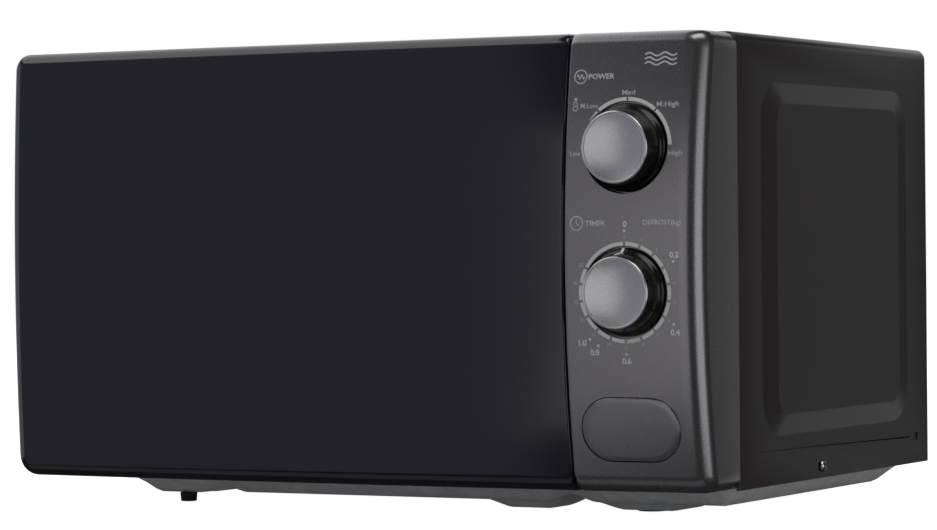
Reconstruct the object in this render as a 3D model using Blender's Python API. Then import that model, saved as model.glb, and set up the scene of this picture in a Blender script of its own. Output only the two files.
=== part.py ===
"""Countertop microwave oven with a side-hinged door, two rotary controls and a push-button door release.

Every dimension is in millimetres and is scaled to metres when a mesh is made. +X is the user's right,
+Y runs from the door to the rear, +Z is up. The origin is on the table, under the centre of the oven.
"""

import math

import bmesh
import bpy
from mathutils import Matrix, Vector
from mathutils.geometry import tessellate_polygon

# Driving dimensions
MM = 0.001
GAP = 0.3  # between pieces that touch
SHEET = 1.0  # steel sheet
WALL = 2.0  # moulded plastic
CABINET_WIDTH = 440.0
CABINET_DEPTH = 270.0
CABINET_HEIGHT = 242.4
CABINET_BEND = 6.0
FOOT_HEIGHT = 15.8  # table to the lower edge of the cabinet's sides
KNOB_FRONT = 63.0  # front plane of the cabinet to the face of the timer knob
GLAND_PROUD = 6.0
EMBOSS_HEIGHT = 2.0
SEAM_X = 142.2  # between the door and the control panel
CAVITY_WIDTH = 315.0
CAVITY_HEIGHT = 198.0
CAVITY_DEPTH = 256.0
CAVITY_X = -40.0
TRAY_DIAMETER = 245.0
WHEEL_RADIUS = 7.0
WHEEL_TRACK = 91.5  # turntable axis to the middle of a wheel

# Worked out from them
HALF = CABINET_WIDTH / 2
BOTTOM = FOOT_HEIGHT
TOP = BOTTOM + CABINET_HEIGHT
MIDDLE = (BOTTOM + TOP) / 2
FRONT = (KNOB_FRONT - CABINET_DEPTH - GLAND_PROUD) / 2  # y of the cabinet's front plane
REAR = FRONT + CABINET_DEPTH
CAVITY_LEFT = CAVITY_X - CAVITY_WIDTH / 2
CAVITY_RIGHT = CAVITY_X + CAVITY_WIDTH / 2
CAVITY_FLOOR = 38.5
CAVITY_TOP = CAVITY_FLOOR + CAVITY_HEIGHT
TURN_Y = FRONT + 1.6 + CAVITY_DEPTH / 2
FACE_BOTTOM = BOTTOM + 1.0
FACE_TOP = TOP - 0.3
HINGE_X = -214.5
HINGE_Y = FRONT - 7.3
TIMER = (177.8, BOTTOM + 105.7)
POWER = (177.5, BOTTOM + 181.3)
BUTTON = (177.9, BOTTOM + 33.8)
LEVER_PIVOT = (FRONT + 6.0, 72.0)
FAN = (168.0, 150.0)
SIDE_SCREW = (FRONT + 111.8, BOTTOM + 6.4)
WINDOW = (CAVITY_X - 117, CAVITY_X + 117, MIDDLE - 58, MIDDLE + 58)


def clear_scene():
    for obj in list(bpy.data.objects):
        bpy.data.objects.remove(obj, do_unlink=True)


# Materials


def material(name, color, roughness, metallic=0.0):
    made = bpy.data.materials.get(name)
    if made is None:
        made = bpy.data.materials.new(name)
        made.use_nodes = True
        shader = made.node_tree.nodes["Principled BSDF"]
        shader.inputs["Base Color"].default_value = (*color, 1.0)
        shader.inputs["Roughness"].default_value = roughness
        shader.inputs["Metallic"].default_value = metallic
    return made


def painted_steel():
    return material("painted_steel", (0.022, 0.018, 0.018), 0.35)


def grey_steel():
    return material("grey_steel", (0.16, 0.17, 0.18), 0.45, 0.6)


def zinc_steel():
    return material("zinc_steel", (0.55, 0.56, 0.57), 0.35, 0.9)


def cavity_enamel():
    return material("cavity_enamel", (0.32, 0.33, 0.34), 0.45, 0.2)


def gloss_black():
    return material("gloss_black", (0.012, 0.012, 0.018), 0.12)


def satin_grey():
    return material("satin_grey", (0.07, 0.066, 0.072), 0.35)


def knob_plastic():
    return material("knob_plastic", (0.05, 0.05, 0.053), 0.3)


def dark_glass():
    return material("dark_glass", (0.012, 0.012, 0.018), 0.08)


def clear_glass():
    return material("clear_glass", (0.75, 0.8, 0.8), 0.05)


def rubber():
    return material("rubber", (0.015, 0.015, 0.015), 0.8)


def inner_plastic():
    return material("inner_plastic", (0.75, 0.74, 0.7), 0.5)


def dark_plastic():
    return material("dark_plastic", (0.03, 0.03, 0.03), 0.5)


def copper():
    return material("copper", (0.6, 0.22, 0.09), 0.35, 0.9)


def laminations():
    return material("laminations", (0.18, 0.18, 0.19), 0.5, 0.7)


def board_green():
    return material("board_green", (0.03, 0.2, 0.08), 0.5)


def mica():
    return material("mica", (0.62, 0.56, 0.45), 0.6)


def spring_steel():
    return material("spring_steel", (0.6, 0.6, 0.62), 0.3, 1.0)


# Shapes


def finish(name, bm, look, origin=None, smooth=False):
    """Turns a bmesh in millimetres into an object whose origin is the point given, in millimetres."""
    bmesh.ops.recalc_face_normals(bm, faces=bm.faces)
    mesh = bpy.data.meshes.new(name)
    bm.to_mesh(mesh)
    bm.free()
    place = Vector(origin or (0.0, 0.0, 0.0)) * MM
    mesh.transform(Matrix.Translation(-place) @ Matrix.Scale(MM, 4))
    if smooth:
        mesh.shade_smooth()
        mesh.set_sharp_from_angle(angle=math.radians(35))
    obj = bpy.data.objects.new(name, mesh)
    obj.location = place
    obj.data.materials.append(look)
    bpy.context.scene.collection.objects.link(obj)
    return obj


def combine(obj, operation, *others):
    """Cuts or joins the other objects, which stay in the scene as hidden guides."""
    for other in others:
        other.hide_render = True
        other.display_type = "WIRE"
        modifier = obj.modifiers.new(other.name, "BOOLEAN")
        modifier.operation = operation
        modifier.object = other
        modifier.solver = "EXACT"
    return obj


def box(name, low, high, look, origin=None):
    bm = bmesh.new()
    bmesh.ops.create_cube(bm, size=1.0)
    low, high = Vector(low), Vector(high)
    size = high - low
    bmesh.ops.scale(bm, vec=size, verts=bm.verts)
    bmesh.ops.translate(bm, vec=(low + high) / 2, verts=bm.verts)
    return finish(name, bm, look, origin)


def arc(cx, cy, radius, start, end, steps):
    """Points on an arc, ends included. Angles are in degrees."""
    angles = [math.radians(start + (end - start) * i / steps) for i in range(steps + 1)]
    return [(cx + radius * math.cos(a), cy + radius * math.sin(a)) for a in angles]


def circle(cx, cy, radius, steps=24):
    return arc(cx, cy, radius, 0, 360, steps)[:-1]


def rounded(x0, x1, y0, y1, radii, steps=4):
    """A rectangle with round corners, anticlockwise. Radii: low left, low right, high right, high left."""
    ll, lr, hr, hl = radii
    return (
        arc(x0 + ll, y0 + ll, ll, 180, 270, steps)
        + arc(x1 - lr, y0 + lr, lr, 270, 360, steps)
        + arc(x1 - hr, y1 - hr, hr, 0, 90, steps)
        + arc(x0 + hl, y1 - hl, hl, 90, 180, steps)
    )


def rectangle(x0, x1, y0, y1):
    return [(x0, y0), (x1, y0), (x1, y1), (x0, y1)]


def stadium(cx, cy, width, height, steps=10):
    radius = height / 2
    reach = width / 2 - radius
    right = arc(cx + reach, cy, radius, -90, 90, steps)
    left = arc(cx - reach, cy, radius, 90, 270, steps)
    return right + left


def on_axis(axis, u, v, along):
    """A point of a section, placed in the oven. Sections across X are (y, z), Y (x, z) and Z (x, y)."""
    return {"X": (along, u, v), "Y": (u, along, v), "Z": (u, v, along)}[axis]


def prism(name, outline, axis, start, end, look, holes=(), origin=None, smooth=False):
    """A section with holes, extruded along an axis."""
    loops = [outline, *holes]
    flat = [[Vector((u, v, 0.0)) for u, v in loop] for loop in loops]
    bm = bmesh.new()
    lows = [[bm.verts.new(on_axis(axis, p.x, p.y, start)) for p in loop] for loop in flat]
    highs = [[bm.verts.new(on_axis(axis, p.x, p.y, end)) for p in loop] for loop in flat]
    all_lows = [v for loop in lows for v in loop]
    all_highs = [v for loop in highs for v in loop]
    for a, b, c in tessellate_polygon(flat):
        bm.faces.new((all_lows[a], all_lows[b], all_lows[c]))
        bm.faces.new((all_highs[c], all_highs[b], all_highs[a]))
    for low, high in zip(lows, highs):
        for i in range(len(low)):
            j = (i + 1) % len(low)
            bm.faces.new((low[i], low[j], high[j], high[i]))
    return finish(name, bm, look, origin, smooth)


def lathe(name, profile, axis, centre, look, segments=24, origin=None):
    """Turns a profile of (radius, distance along the axis). A radius of 0 ends in a point on the axis."""
    bm = bmesh.new()
    rings = []
    for radius, along in profile:
        if radius == 0:
            rings.append([bm.verts.new(on_axis(axis, *centre, along))])
            continue
        ring = [on_axis(axis, u, v, along) for u, v in circle(*centre, radius, segments)]
        rings.append([bm.verts.new(p) for p in ring])
    closed = all(radius > 0 for radius, _ in profile)
    for a, b in zip(rings, rings[1:] + (rings[:1] if closed else [])):
        for i in range(segments):
            j = (i + 1) % segments
            corners = (a[i % len(a)], a[j % len(a)], b[j % len(b)], b[i % len(b)])
            bm.faces.new(list(dict.fromkeys(corners)))
    return finish(name, bm, look, origin, smooth=True)


def rod(name, axis, centre, radius, start, end, look, segments=24, origin=None):
    profile = [(0, start), (radius, start), (radius, end), (0, end)]
    return lathe(name, profile, axis, centre, look, segments, origin)


def tube(name, axis, centre, inner, outer, start, end, look, segments=24, origin=None):
    profile = [(inner, start), (outer, start), (outer, end), (inner, end)]
    return lathe(name, profile, axis, centre, look, segments, origin)


def coil(name, start, end, radius, wire, turns, look):
    """A compression spring between two points that differ along one axis."""
    start, end = Vector(start), Vector(end)
    along = end - start
    side = along.orthogonal().normalized()
    other = along.normalized().cross(side)
    steps = turns * 10
    curve = bpy.data.curves.new(name, "CURVE")
    curve.dimensions = "3D"
    curve.bevel_depth = wire * MM
    curve.bevel_resolution = 0
    curve.use_fill_caps = True
    spline = curve.splines.new("POLY")
    spline.points.add(steps)
    for i in range(steps + 1):
        angle = 2 * math.pi * turns * i / steps
        around = side * math.cos(angle) + other * math.sin(angle)
        point = start + along * i / steps + around * radius
        spline.points[i].co = (*(point * MM), 1.0)
    obj = bpy.data.objects.new(name, curve)
    obj.data.materials.append(look)
    bpy.context.scene.collection.objects.link(obj)
    return obj


# The bowed front, shared by the door and the control panel


def face_depth(x, z):
    """How far the front face stands ahead of the cabinet's front plane."""
    across = (x + HALF) / CABINET_WIDTH
    up = (z - MIDDLE) / (CABINET_HEIGHT / 2)
    edge = 31.0 + 6.0 * across + 28.8 * across * (1 - across)
    bow = 4.2 + 8.5 * max(across, 0.0) ** 1.5
    return edge + bow * (1 - up * up)


def face_rings(outline, centre, inset, fillet, rear, steps):
    """Rings of points from the rear rim, round the fillet and over the bowed face to its middle."""
    cx, cz = centre
    spread = max(abs(x - cx) for x, _ in outline), max(abs(z - cz) for _, z in outline)
    rings = [[(x, rear, z) for x, z in outline]]
    turns = 3
    for i in range(turns + 1):
        angle = math.radians(90 * i / turns)
        pull = fillet * (1 - math.cos(angle))
        back = fillet * (1 - math.sin(angle))
        shrink = 1 - pull / spread[0], 1 - pull / spread[1]
        ring = [(cx + (x - cx) * shrink[0], cz + (z - cz) * shrink[1]) for x, z in outline]
        rings.append([(x, FRONT - face_depth(x, z) + inset + back, z) for x, z in ring])
    last = rings[-1]
    for i in range(1, steps):
        keep = 1 - i / steps
        ring = [(cx + (x - cx) * keep, cz + (z - cz) * keep) for x, _, z in last]
        rings.append([(x, FRONT - face_depth(x, z) + inset, z) for x, z in ring])
    return rings, (cx, FRONT - face_depth(cx, cz) + inset, cz)


def stitch(bm, rings, centre):
    """Joins rings of the same length and closes the last one on a point. Returns the first ring."""
    made = [[bm.verts.new(p) for p in ring] for ring in rings]
    count = len(made[0])
    for a, b in zip(made, made[1:]):
        for i in range(count):
            j = (i + 1) % count
            bm.faces.new((a[i], a[j], b[j], b[i]))
    middle = bm.verts.new(centre)
    for i in range(count):
        bm.faces.new((made[-1][i], made[-1][(i + 1) % count], middle))
    return made[0]


def face_shell(name, x0, x1, radii, fillet, rear, look, steps, origin=None):
    """A hollow moulding with a bowed front, open at the rear."""
    centre = ((x0 + x1) / 2, MIDDLE)
    bm = bmesh.new()
    outer = rounded(x0, x1, FACE_BOTTOM, FACE_TOP, radii)
    inner_radii = [max(r - WALL, 0.5) for r in radii]
    inner = rounded(x0 + WALL, x1 - WALL, FACE_BOTTOM + WALL, FACE_TOP - WALL, inner_radii)
    first = stitch(bm, *face_rings(outer, centre, 0.0, fillet, rear, steps))
    second = stitch(bm, *face_rings(inner, centre, WALL, max(fillet - WALL, 0.5), rear, steps))
    for i in range(len(first)):
        j = (i + 1) % len(first)
        bm.faces.new((first[i], first[j], second[j], second[i]))
    return finish(name, bm, look, origin, smooth=True)


def face_patch(name, outline, centre, ahead, thickness, look, steps, origin=None):
    """A plug whose front follows the bowed face and whose back is parallel to it."""
    bm = bmesh.new()
    cx, cz = centre
    for sign, depth in ((1, ahead), (-1, ahead - thickness)):
        rings = []
        for i in range(steps):
            keep = 1 - i / steps
            ring = [(cx + (x - cx) * keep, cz + (z - cz) * keep) for x, z in outline]
            rings.append([(x, FRONT - face_depth(x, z) - depth, z) for x, z in ring])
        rim = stitch(bm, rings, (cx, FRONT - face_depth(cx, cz) - depth, cz))
        if sign == 1:
            front_rim = rim
    for i in range(len(rim)):
        j = (i + 1) % len(rim)
        bm.faces.new((front_rim[i], front_rim[j], rim[j], rim[i]))
    return finish(name, bm, look, origin, smooth=True)


# Cabinet


def emboss(y, z):
    """How far the side stands out of its plane: one raised field with sloping edges."""
    ahead = (y - FRONT - 30.0) / 18.0
    behind = (FRONT + 239.5 - y) / 18.0
    low = (z - BOTTOM - 26.0) / 12.0
    high = (BOTTOM + 217.5 - z) / 12.0
    return EMBOSS_HEIGHT * min(1.0, max(0.0, min(ahead, behind, low, high)))


def cabinet_section(offset):
    """The inverted U of the wrapper as (x, z, outward x), from the left edge over the top to the right."""
    flats = [BOTTOM, BOTTOM + 26.0, BOTTOM + 38.0, MIDDLE, BOTTOM + 205.5, BOTTOM + 217.5]
    half = HALF - offset
    top = TOP - offset
    bend = CABINET_BEND - offset
    right = [(half, z, 1) for z in flats]
    right += [(x, z, 0) for x, z in arc(half - bend, top - bend, bend, 0, 90, 4)]
    left = [(-x, z, -out) for x, z, out in right]
    return left + [(0.0, top, 0)] + right[::-1]


def outer_cabinet():
    stations = [FRONT, FRONT + 30.0, FRONT + 48.0, FRONT + 135.0, FRONT + 221.5, FRONT + 239.5, REAR]
    bm = bmesh.new()
    skins = []
    for offset in (0.0, SHEET):
        skin = []
        for y in stations:
            row = [(x + out * emboss(y, z), y, z) for x, z, out in cabinet_section(offset)]
            skin.append([bm.verts.new(p) for p in row])
        skins.append(skin)
        for a, b in zip(skin, skin[1:]):
            for i in range(len(a) - 1):
                bm.faces.new((a[i], a[i + 1], b[i + 1], b[i]))
    outer, inner = skins
    for row in (0, -1):
        for i in range(len(outer[row]) - 1):
            bm.faces.new((outer[row][i], outer[row][i + 1], inner[row][i + 1], inner[row][i]))
    for column in (0, -1):
        for k in range(len(outer) - 1):
            corners = (outer[k][column], outer[k + 1][column], inner[k + 1][column], inner[k][column])
            bm.faces.new(corners)
    wrapper = finish("outer_cabinet", bm, painted_steel())
    for side in (-1, 1):
        ends = sorted((side * (HALF - 4), side * (HALF + 4)))
        hole = rod(f"side_screw_hole_{side}", "X", SIDE_SCREW, 2.2, *ends, painted_steel(), 12)
        combine(wrapper, "DIFFERENCE", hole)
    return wrapper


def side_screws():
    for name, side in (("side_screw_left", -1), ("side_screw_right", 1)):
        out = HALF + GAP
        shank = [(0, out - 6), (1.8, out - 6), (1.8, out)]
        head = [(3.2, out), (3.0, out + 1.2), (1.8, out + 2), (0, out + 2)]
        profile = [(radius, side * along) for radius, along in shank + head]
        lathe(name, profile, "X", SIDE_SCREW, zinc_steel(), 16)


def ramp(value, start, end):
    return min(1.0, max(0.0, (value - start) / (end - start)))


def pan_drop(x, y):
    """How far the base plate is pressed down below the cabinet's lower edge."""
    across = min(ramp(x, -170, -154), ramp(-x, -216, -203))
    along = min(ramp(y, FRONT + 3, FRONT + 18), ramp(-y, -FRONT - 242, -FRONT - 226))
    inside = min(across, along)
    drop = 9.0 * inside
    drop -= 2.2 * inside * max(0.0, 1 - abs(x + 107) / 10)
    drop -= 3.2 * inside * max(0.0, 1 - abs(x - 111) / 16)
    for cx, cy, half, slope, more in PRESSED_FEET:
        near = max(abs(x - cx), abs(y - FRONT - cy))
        drop += more * inside * (1 - ramp(near, half, half + slope))
    return drop


# Centre x, distance behind the front plane, half width, slope and extra depth of each pressed foot
PRESSED_FEET = [
    (-139, 22, 12, 10, 1.4),
    (68, 48, 10, 12, 6.2),
    (146, 48, 13, 12, 5.5),
    (-137, 205, 12, 9, 2.0),
    (137, 205, 12, 9, 2.0),
]


def base_plate():
    xs = [-218.5, -170, -154, -149, -139, -127, -117, -107, -97, -40, 46, 58, 68]
    xs += [78, 90, 111, 121, 133, 146, 159, 171, 187, 203, 216, 218.5]
    ys = [1.5, 3, 18, 22, 26, 36, 48, 61, 73, 130, 184, 193, 205, 217, 226, 242, 267]
    bm = bmesh.new()
    skins = []
    for thickness in (0.0, SHEET):
        skin = []
        for y in ys:
            row = [(x, FRONT + y, BOTTOM - pan_drop(x, FRONT + y) + thickness) for x in xs]
            skin.append([bm.verts.new(p) for p in row])
        skins.append(skin)
        for a, b in zip(skin, skin[1:]):
            for i in range(len(a) - 1):
                bm.faces.new((a[i], a[i + 1], b[i + 1], b[i]))
    low, high = skins
    for row in (0, -1):
        for i in range(len(xs) - 1):
            bm.faces.new((low[row][i], low[row][i + 1], high[row][i + 1], high[row][i]))
    for column in (0, -1):
        for k in range(len(ys) - 1):
            bm.faces.new((low[k][column], low[k + 1][column], high[k + 1][column], high[k][column]))
    return finish("base_plate", bm, grey_steel())


def feet():
    places = {
        "foot_front_left": (-137.0, 19.0, 5.0),
        "foot_front_right": (146.0, 48.0, 9.0),
        "foot_rear_left": (-137.0, 205.0, 7.0),
        "foot_rear_right": (137.0, 205.0, 7.0),
    }
    for name, (x, back, radius) in places.items():
        height = BOTTOM - pan_drop(x, FRONT + back) - GAP
        profile = [(0, 0), (radius - 0.3, 0), (radius, 0.3), (radius, height), (0, height)]
        lathe(name, profile, "Z", (x, FRONT + back), rubber(), 16)


def slot_grid(x0, z0, columns, rows, pitch_x, pitch_z, width, height):
    """Rectangular vent slots in rows and columns."""
    slots = []
    for column in range(columns):
        for row in range(rows):
            x = x0 + column * pitch_x
            z = z0 + row * pitch_z
            slots.append(rectangle(x, x + width, z, z + height))
    return slots


def rear_panel():
    outline = rounded(-HALF + 1.3, HALF - 1.3, BOTTOM + 1.5, TOP - 1.3, (1, 1, 6, 6), 3)
    fan_vents = slot_grid(126, 112, 5, 4, 18, 20, 12, 8)
    outlet_vents = slot_grid(-190, 190, 6, 2, 18, 20, 12, 8)
    gland_hole = [circle(196.0, 46.0, 8.0, 16)]
    holes = fan_vents + outlet_vents + gland_hole
    return prism("rear_panel", outline, "Y", REAR - SHEET - GAP, REAR - GAP, grey_steel(), holes)


def cord_gland():
    panel_front = REAR - SHEET - GAP
    panel_rear = REAR - GAP
    profile = [
        (4.0, panel_front - 4),
        (10.0, panel_front - 4),
        (10.0, panel_front - GAP),
        (7.7, panel_front - GAP),
        (7.7, panel_rear + GAP),
        (11.0, panel_rear + GAP),
        (9.5, REAR + GLAND_PROUD),
        (4.0, REAR + GLAND_PROUD),
    ]
    return lathe("cord_gland", profile, "Y", (196.0, 46.0), dark_plastic(), 20)


# Front frame and cavity


def front_frame():
    outline = rounded(-HALF + 1.3, HALF - 1.3, BOTTOM + 1.5, TOP - 1.3, (1, 1, 6, 6), 3)
    holes = [
        rounded(CAVITY_LEFT, CAVITY_RIGHT, CAVITY_FLOOR, CAVITY_TOP, (4, 4, 4, 4), 2),
        rectangle(127, 140, 73, 93),
        rectangle(127, 140, 196, 217),
        rectangle(159, 169, BUTTON[1] - 5, BUTTON[1] + 5),
        rectangle(186, 206, 72, 88),
        rectangle(-218.0, -210.5, 245.3, 248.2),
        rectangle(-218.0, -210.5, 25.8, 28.7),
    ]
    return prism("front_frame", outline, "Y", FRONT + GAP, FRONT + GAP + SHEET, painted_steel(), holes)


def cavity():
    look = cavity_enamel()
    left, right = CAVITY_LEFT - GAP, CAVITY_RIGHT + GAP
    near, far = FRONT + 1.6, FRONT + 1.9 + CAVITY_DEPTH
    whole = rectangle(left - SHEET, right + SHEET, near, far + SHEET)
    drive_hole = [circle(CAVITY_X, TURN_Y, 8.0, 16)]
    prism("cavity_floor", whole, "Z", CAVITY_FLOOR - GAP - SHEET, CAVITY_FLOOR - GAP, look, drive_hole)
    prism("cavity_ceiling", whole, "Z", CAVITY_TOP + GAP, CAVITY_TOP + GAP + SHEET, look)
    side = rectangle(near, far - GAP, CAVITY_FLOOR, CAVITY_TOP)
    prism("cavity_left_wall", side, "X", left - SHEET, left, look)
    window = rectangle(FRONT + 70, FRONT + 130, 203, 229)
    lamp_holes = [circle(FRONT + 190 + 8 * i, 212 + 8 * j, 2.5, 8) for i in range(3) for j in range(3)]
    prism("cavity_right_wall", side, "X", right, right + SHEET, look, [window] + lamp_holes)
    back = rectangle(left - SHEET, right + SHEET, CAVITY_FLOOR, CAVITY_TOP)
    prism("cavity_back_wall", back, "Y", far, far + SHEET, look)
    cover = rounded(FRONT + 66, FRONT + 134, 199, 233, (3, 3, 3, 3), 2)
    prism("mica_cover", cover, "X", CAVITY_RIGHT - 0.6, CAVITY_RIGHT, mica())


# Microwave source and its supply


def waveguide():
    start = CAVITY_RIGHT + SHEET + 2 * GAP
    guide = box("waveguide", (start, FRONT + 66, 199), (206, FRONT + 134, 233), grey_steel())
    hollow = box("waveguide_hollow", (start - 5, FRONT + 67, 200), (205, FRONT + 133, 232), grey_steel())
    opening = rod("waveguide_antenna_hole", "Z", (172, FRONT + 100), 9.0, 190, 201, grey_steel(), 16)
    return combine(guide, "DIFFERENCE", hollow, opening)


def magnetron():
    centre = 172
    outline = rectangle(centre - 34, centre + 34, 140, 196)
    hollow = rectangle(centre - 32.5, centre + 32.5, 141.5, 194.5)
    yoke = prism("magnetron_yoke", outline, "Y", FRONT + 66, FRONT + 134, zinc_steel(), [hollow])
    dome = [(0, 195), (7.5, 195), (7.5, 222), (5.5, 227), (0, 227)]
    combine(yoke, "UNION", lathe("magnetron_antenna", dome, "Z", (centre, FRONT + 100), zinc_steel(), 16))
    comb = []
    levels = 6
    pitch = 50 / levels
    for side in (1, -1):
        order = range(levels) if side == 1 else reversed(range(levels))
        for level in order:
            z = 143.5 + pitch * level + 3
            edges = ((12, z), (29, z), (29, z + 1), (12, z + 1))
            edges = edges if side == 1 else tuple(reversed(edges))
            comb += [(centre + side * x, height) for x, height in edges]
    top = [(centre + 12, 193), (centre - 12, 193)]
    bottom = [(centre - 12, 143), (centre + 12, 143)]
    outline = comb[: 4 * levels] + top + comb[4 * levels :] + bottom
    prism("magnetron_fins", outline, "Y", FRONT + 70, FRONT + 130, zinc_steel())
    case = rounded(centre - 27, centre + 27, FRONT + 78, FRONT + 122, (4, 4, 4, 4), 2)
    prism("magnetron_filter_box", case, "Z", 112, 139.5, zinc_steel())


def transformer():
    near = FRONT + 100
    low = 8.2
    outline = rectangle(near, near + 72, low, low + 54)
    windows = [rectangle(near + a, near + a + 16, low + 9, low + 45) for a in (10, 46)]
    prism("transformer_core", outline, "X", 148, 194, laminations(), windows)
    winding = rounded(140, 202, near + 10.5, near + 61.5, (6, 6, 6, 6), 2)
    leg = rectangle(147.6, 194.4, near + 25.6, near + 46.4)
    prism("transformer_primary_coil", winding, "Z", low + 10, low + 26, copper(), [leg])
    prism("transformer_secondary_coil", winding, "Z", low + 28, low + 44, copper(), [leg])


def high_voltage_capacitor():
    outline = stadium(174, FRONT + 208, 52, 33, 6)
    prism("hv_capacitor", outline, "Z", 8.2, 92, zinc_steel(), smooth=True)


def fan():
    plate = rectangle(121, 217, 100, 198)
    hole = circle(*FAN, 42, 32)
    prism("fan_shroud", plate, "Y", FRONT + 232, FRONT + 233.2, grey_steel(), [hole])
    x, z = FAN
    core = rounded(x - 26, x + 26, z - 30, z + 20, (4, 4, 4, 4), 2)
    prism("fan_motor", core, "Y", FRONT + 246, FRONT + 260, laminations())
    origin = (x, FRONT + 232, z)
    hub = rod("fan_blade", "Y", FAN, 9, FRONT + 226, FRONT + 238, dark_plastic(), 16, origin)
    stub = rod("fan_hub_shaft", "Y", FAN, 2.5, FRONT + 237, FRONT + 245.5, dark_plastic(), 12)
    blades = [stub]
    for i in range(5):
        turn = math.radians(72 * i)
        bm = bmesh.new()
        bmesh.ops.create_cube(bm, size=1.0)
        bmesh.ops.scale(bm, vec=(31, 1.6, 22), verts=bm.verts)
        pitch = Matrix.Rotation(math.radians(28), 4, "X")
        out = Matrix.Translation((22.5, 0, 0))
        spin = Matrix.Rotation(turn, 4, "Y")
        bm.transform(Matrix.Translation(origin) @ spin @ out @ pitch)
        blades.append(finish(f"fan_blade_{i + 1}", bm, dark_plastic()))
    return combine(hub, "UNION", *blades)


def noise_filter_board():
    board = box("noise_filter_board", (150, FRONT + 150, 236), (206, FRONT + 215, 237.6), board_green())
    parts = [
        box("filter_choke", (160, FRONT + 160, 237), (182, FRONT + 182, 250), copper()),
        box("filter_fuse", (190, FRONT + 158, 237), (197, FRONT + 190, 244), inner_plastic()),
        box("filter_capacitor", (160, FRONT + 190, 237), (184, FRONT + 204, 248), inner_plastic()),
    ]
    return combine(board, "UNION", *parts)


def oven_lamp():
    centre = (FRONT + 198, 220)
    glass = [(0, 122), (6, 123), (9.5, 129), (9.5, 136), (6, 142), (6, 146), (0, 146)]
    lathe("oven_lamp_bulb", glass, "X", centre, clear_glass(), 16)
    rod("oven_lamp_holder", "X", centre, 8.5, 146.5, 164, inner_plastic(), 16)


# Turntable


def turntable():
    centre = (CAVITY_X, TURN_Y)
    origin = (CAVITY_X, TURN_Y, CAVITY_FLOOR)
    rod("turntable_motor", "Z", centre, 25, 21, 36.4, zinc_steel(), 32)
    lobes = []
    for i in range(36):
        angle = math.radians(10 * i)
        radius = 10.5 + 3.5 * math.cos(3 * angle)
        lobes.append((centre[0] + radius * math.cos(angle), centre[1] + radius * math.sin(angle)))
    coupler = prism("turntable_coupler", lobes, "Z", 39.5, 52.2, inner_plastic(), origin=origin, smooth=True)
    combine(coupler, "UNION", rod("coupler_stub", "Z", centre, 6, 36.8, 41, inner_plastic(), 16))

    radius = TRAY_DIAMETER / 2
    under = CAVITY_FLOOR - GAP + 0.15 + 2 * WHEEL_RADIUS + 0.45
    glass = [
        (0, under),
        (104, under),
        (radius - 3, under + 10),
        (radius, under + 13),
        (radius - 2, under + 15),
        (radius - 6, under + 13),
        (102, under + 4.5),
        (0, under + 4.5),
    ]
    lathe("glass_tray", glass, "Z", centre, clear_glass(), 48, origin)

    ring = tube("roller_ring", "Z", centre, 79, 86, 42.5, 48.5, dark_plastic(), 48, origin)
    height = CAVITY_FLOOR - GAP + 0.15 + WHEEL_RADIUS
    for i in range(3):
        turn = Matrix.Translation((*centre, height)) @ Matrix.Rotation(math.radians(120 * i + 90), 4, "Z")
        axle = rod(f"roller_axle_{i + 1}", "X", (0, 0), 1.6, 84, 96, dark_plastic(), 12)
        axle.matrix_world = Matrix.Translation(turn.translation * MM) @ turn.to_3x3().to_4x4()
        combine(ring, "UNION", axle)
        wheel_turn = Matrix.Translation(turn @ Vector((WHEEL_TRACK, 0, 0)) * MM) @ turn.to_3x3().to_4x4()
        wheel = tube(f"roller_{i + 1}", "X", (0, 0), 1.9, WHEEL_RADIUS, -2.5, 2.5, inner_plastic(), 20)
        wheel.matrix_world = wheel_turn


# Door interlock and release


def interlock():
    near = FRONT + GAP + SHEET + GAP
    look = inner_plastic()
    plate = box("interlock_bracket", (142, near, 60), (144, FRONT + 34, 224), look)
    ledges = [
        box("lower_ledge", (134, FRONT + 11, 66), (143, FRONT + 16, 74.9), look),
        box("upper_ledge", (134, FRONT + 11, 190), (143, FRONT + 16, 197.9), look),
    ]
    combine(plate, "UNION", *ledges)
    bearing = rod("lever_bearing", "X", LEVER_PIVOT, 3.3, 140, 146, look, 16)
    combine(plate, "DIFFERENCE", bearing)
    switches = {
        "primary_interlock_switch": 199,
        "monitor_switch": 186,
        "secondary_interlock_switch": 80,
    }
    for name, z in switches.items():
        box(name, (144.3, FRONT + 13, z), (150.7, FRONT + 33, z + 10), dark_plastic())


def release_lever():
    y, z = LEVER_PIVOT
    origin = (150, y, z)
    look = inner_plastic()
    lever = rod("release_lever", "X", LEVER_PIVOT, 3.0, 128.5, 168, look, 16, origin)
    lift_arm = box("lever_lift_arm", (128.5, y, z - 2), (132.5, y + 16, z + 3), look)
    push_arm = box("lever_push_arm", (160, y - 2, BUTTON[1] - 5), (168, y + 2, z), look)
    return combine(lever, "UNION", lift_arm, push_arm)


def button_outline(grow=0.0):
    return stadium(*BUTTON, 56.4 + 2 * grow, 33.4 + 2 * grow, 8)


def release_button():
    origin = (BUTTON[0], FRONT - 44, BUTTON[1])
    look = satin_grey()
    cap = face_patch("release_button", button_outline(), BUTTON, 0.3, 11.0, look, 3, origin)
    low, high = BUTTON[1] - 4, BUTTON[1] + 4
    stem = box("release_button_stem", (160, FRONT - 38, low), (168, FRONT + 3.5, high), look)
    return combine(cap, "UNION", stem)


def release_spring():
    """Works between the back of the button and the front frame, round the stem."""
    near = (164, FRONT - 31, BUTTON[1])
    far = (164, FRONT - 0.8, BUTTON[1])
    return coil("release_spring", near, far, 7.2, 0.5, 7, spring_steel())


# Controls


def timer_unit():
    outline = rounded(154, 202, 101, 217, (3, 3, 3, 3), 2)
    prism("timer_unit", outline, "Y", FRONT - 38, FRONT - 9, zinc_steel())


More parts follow.
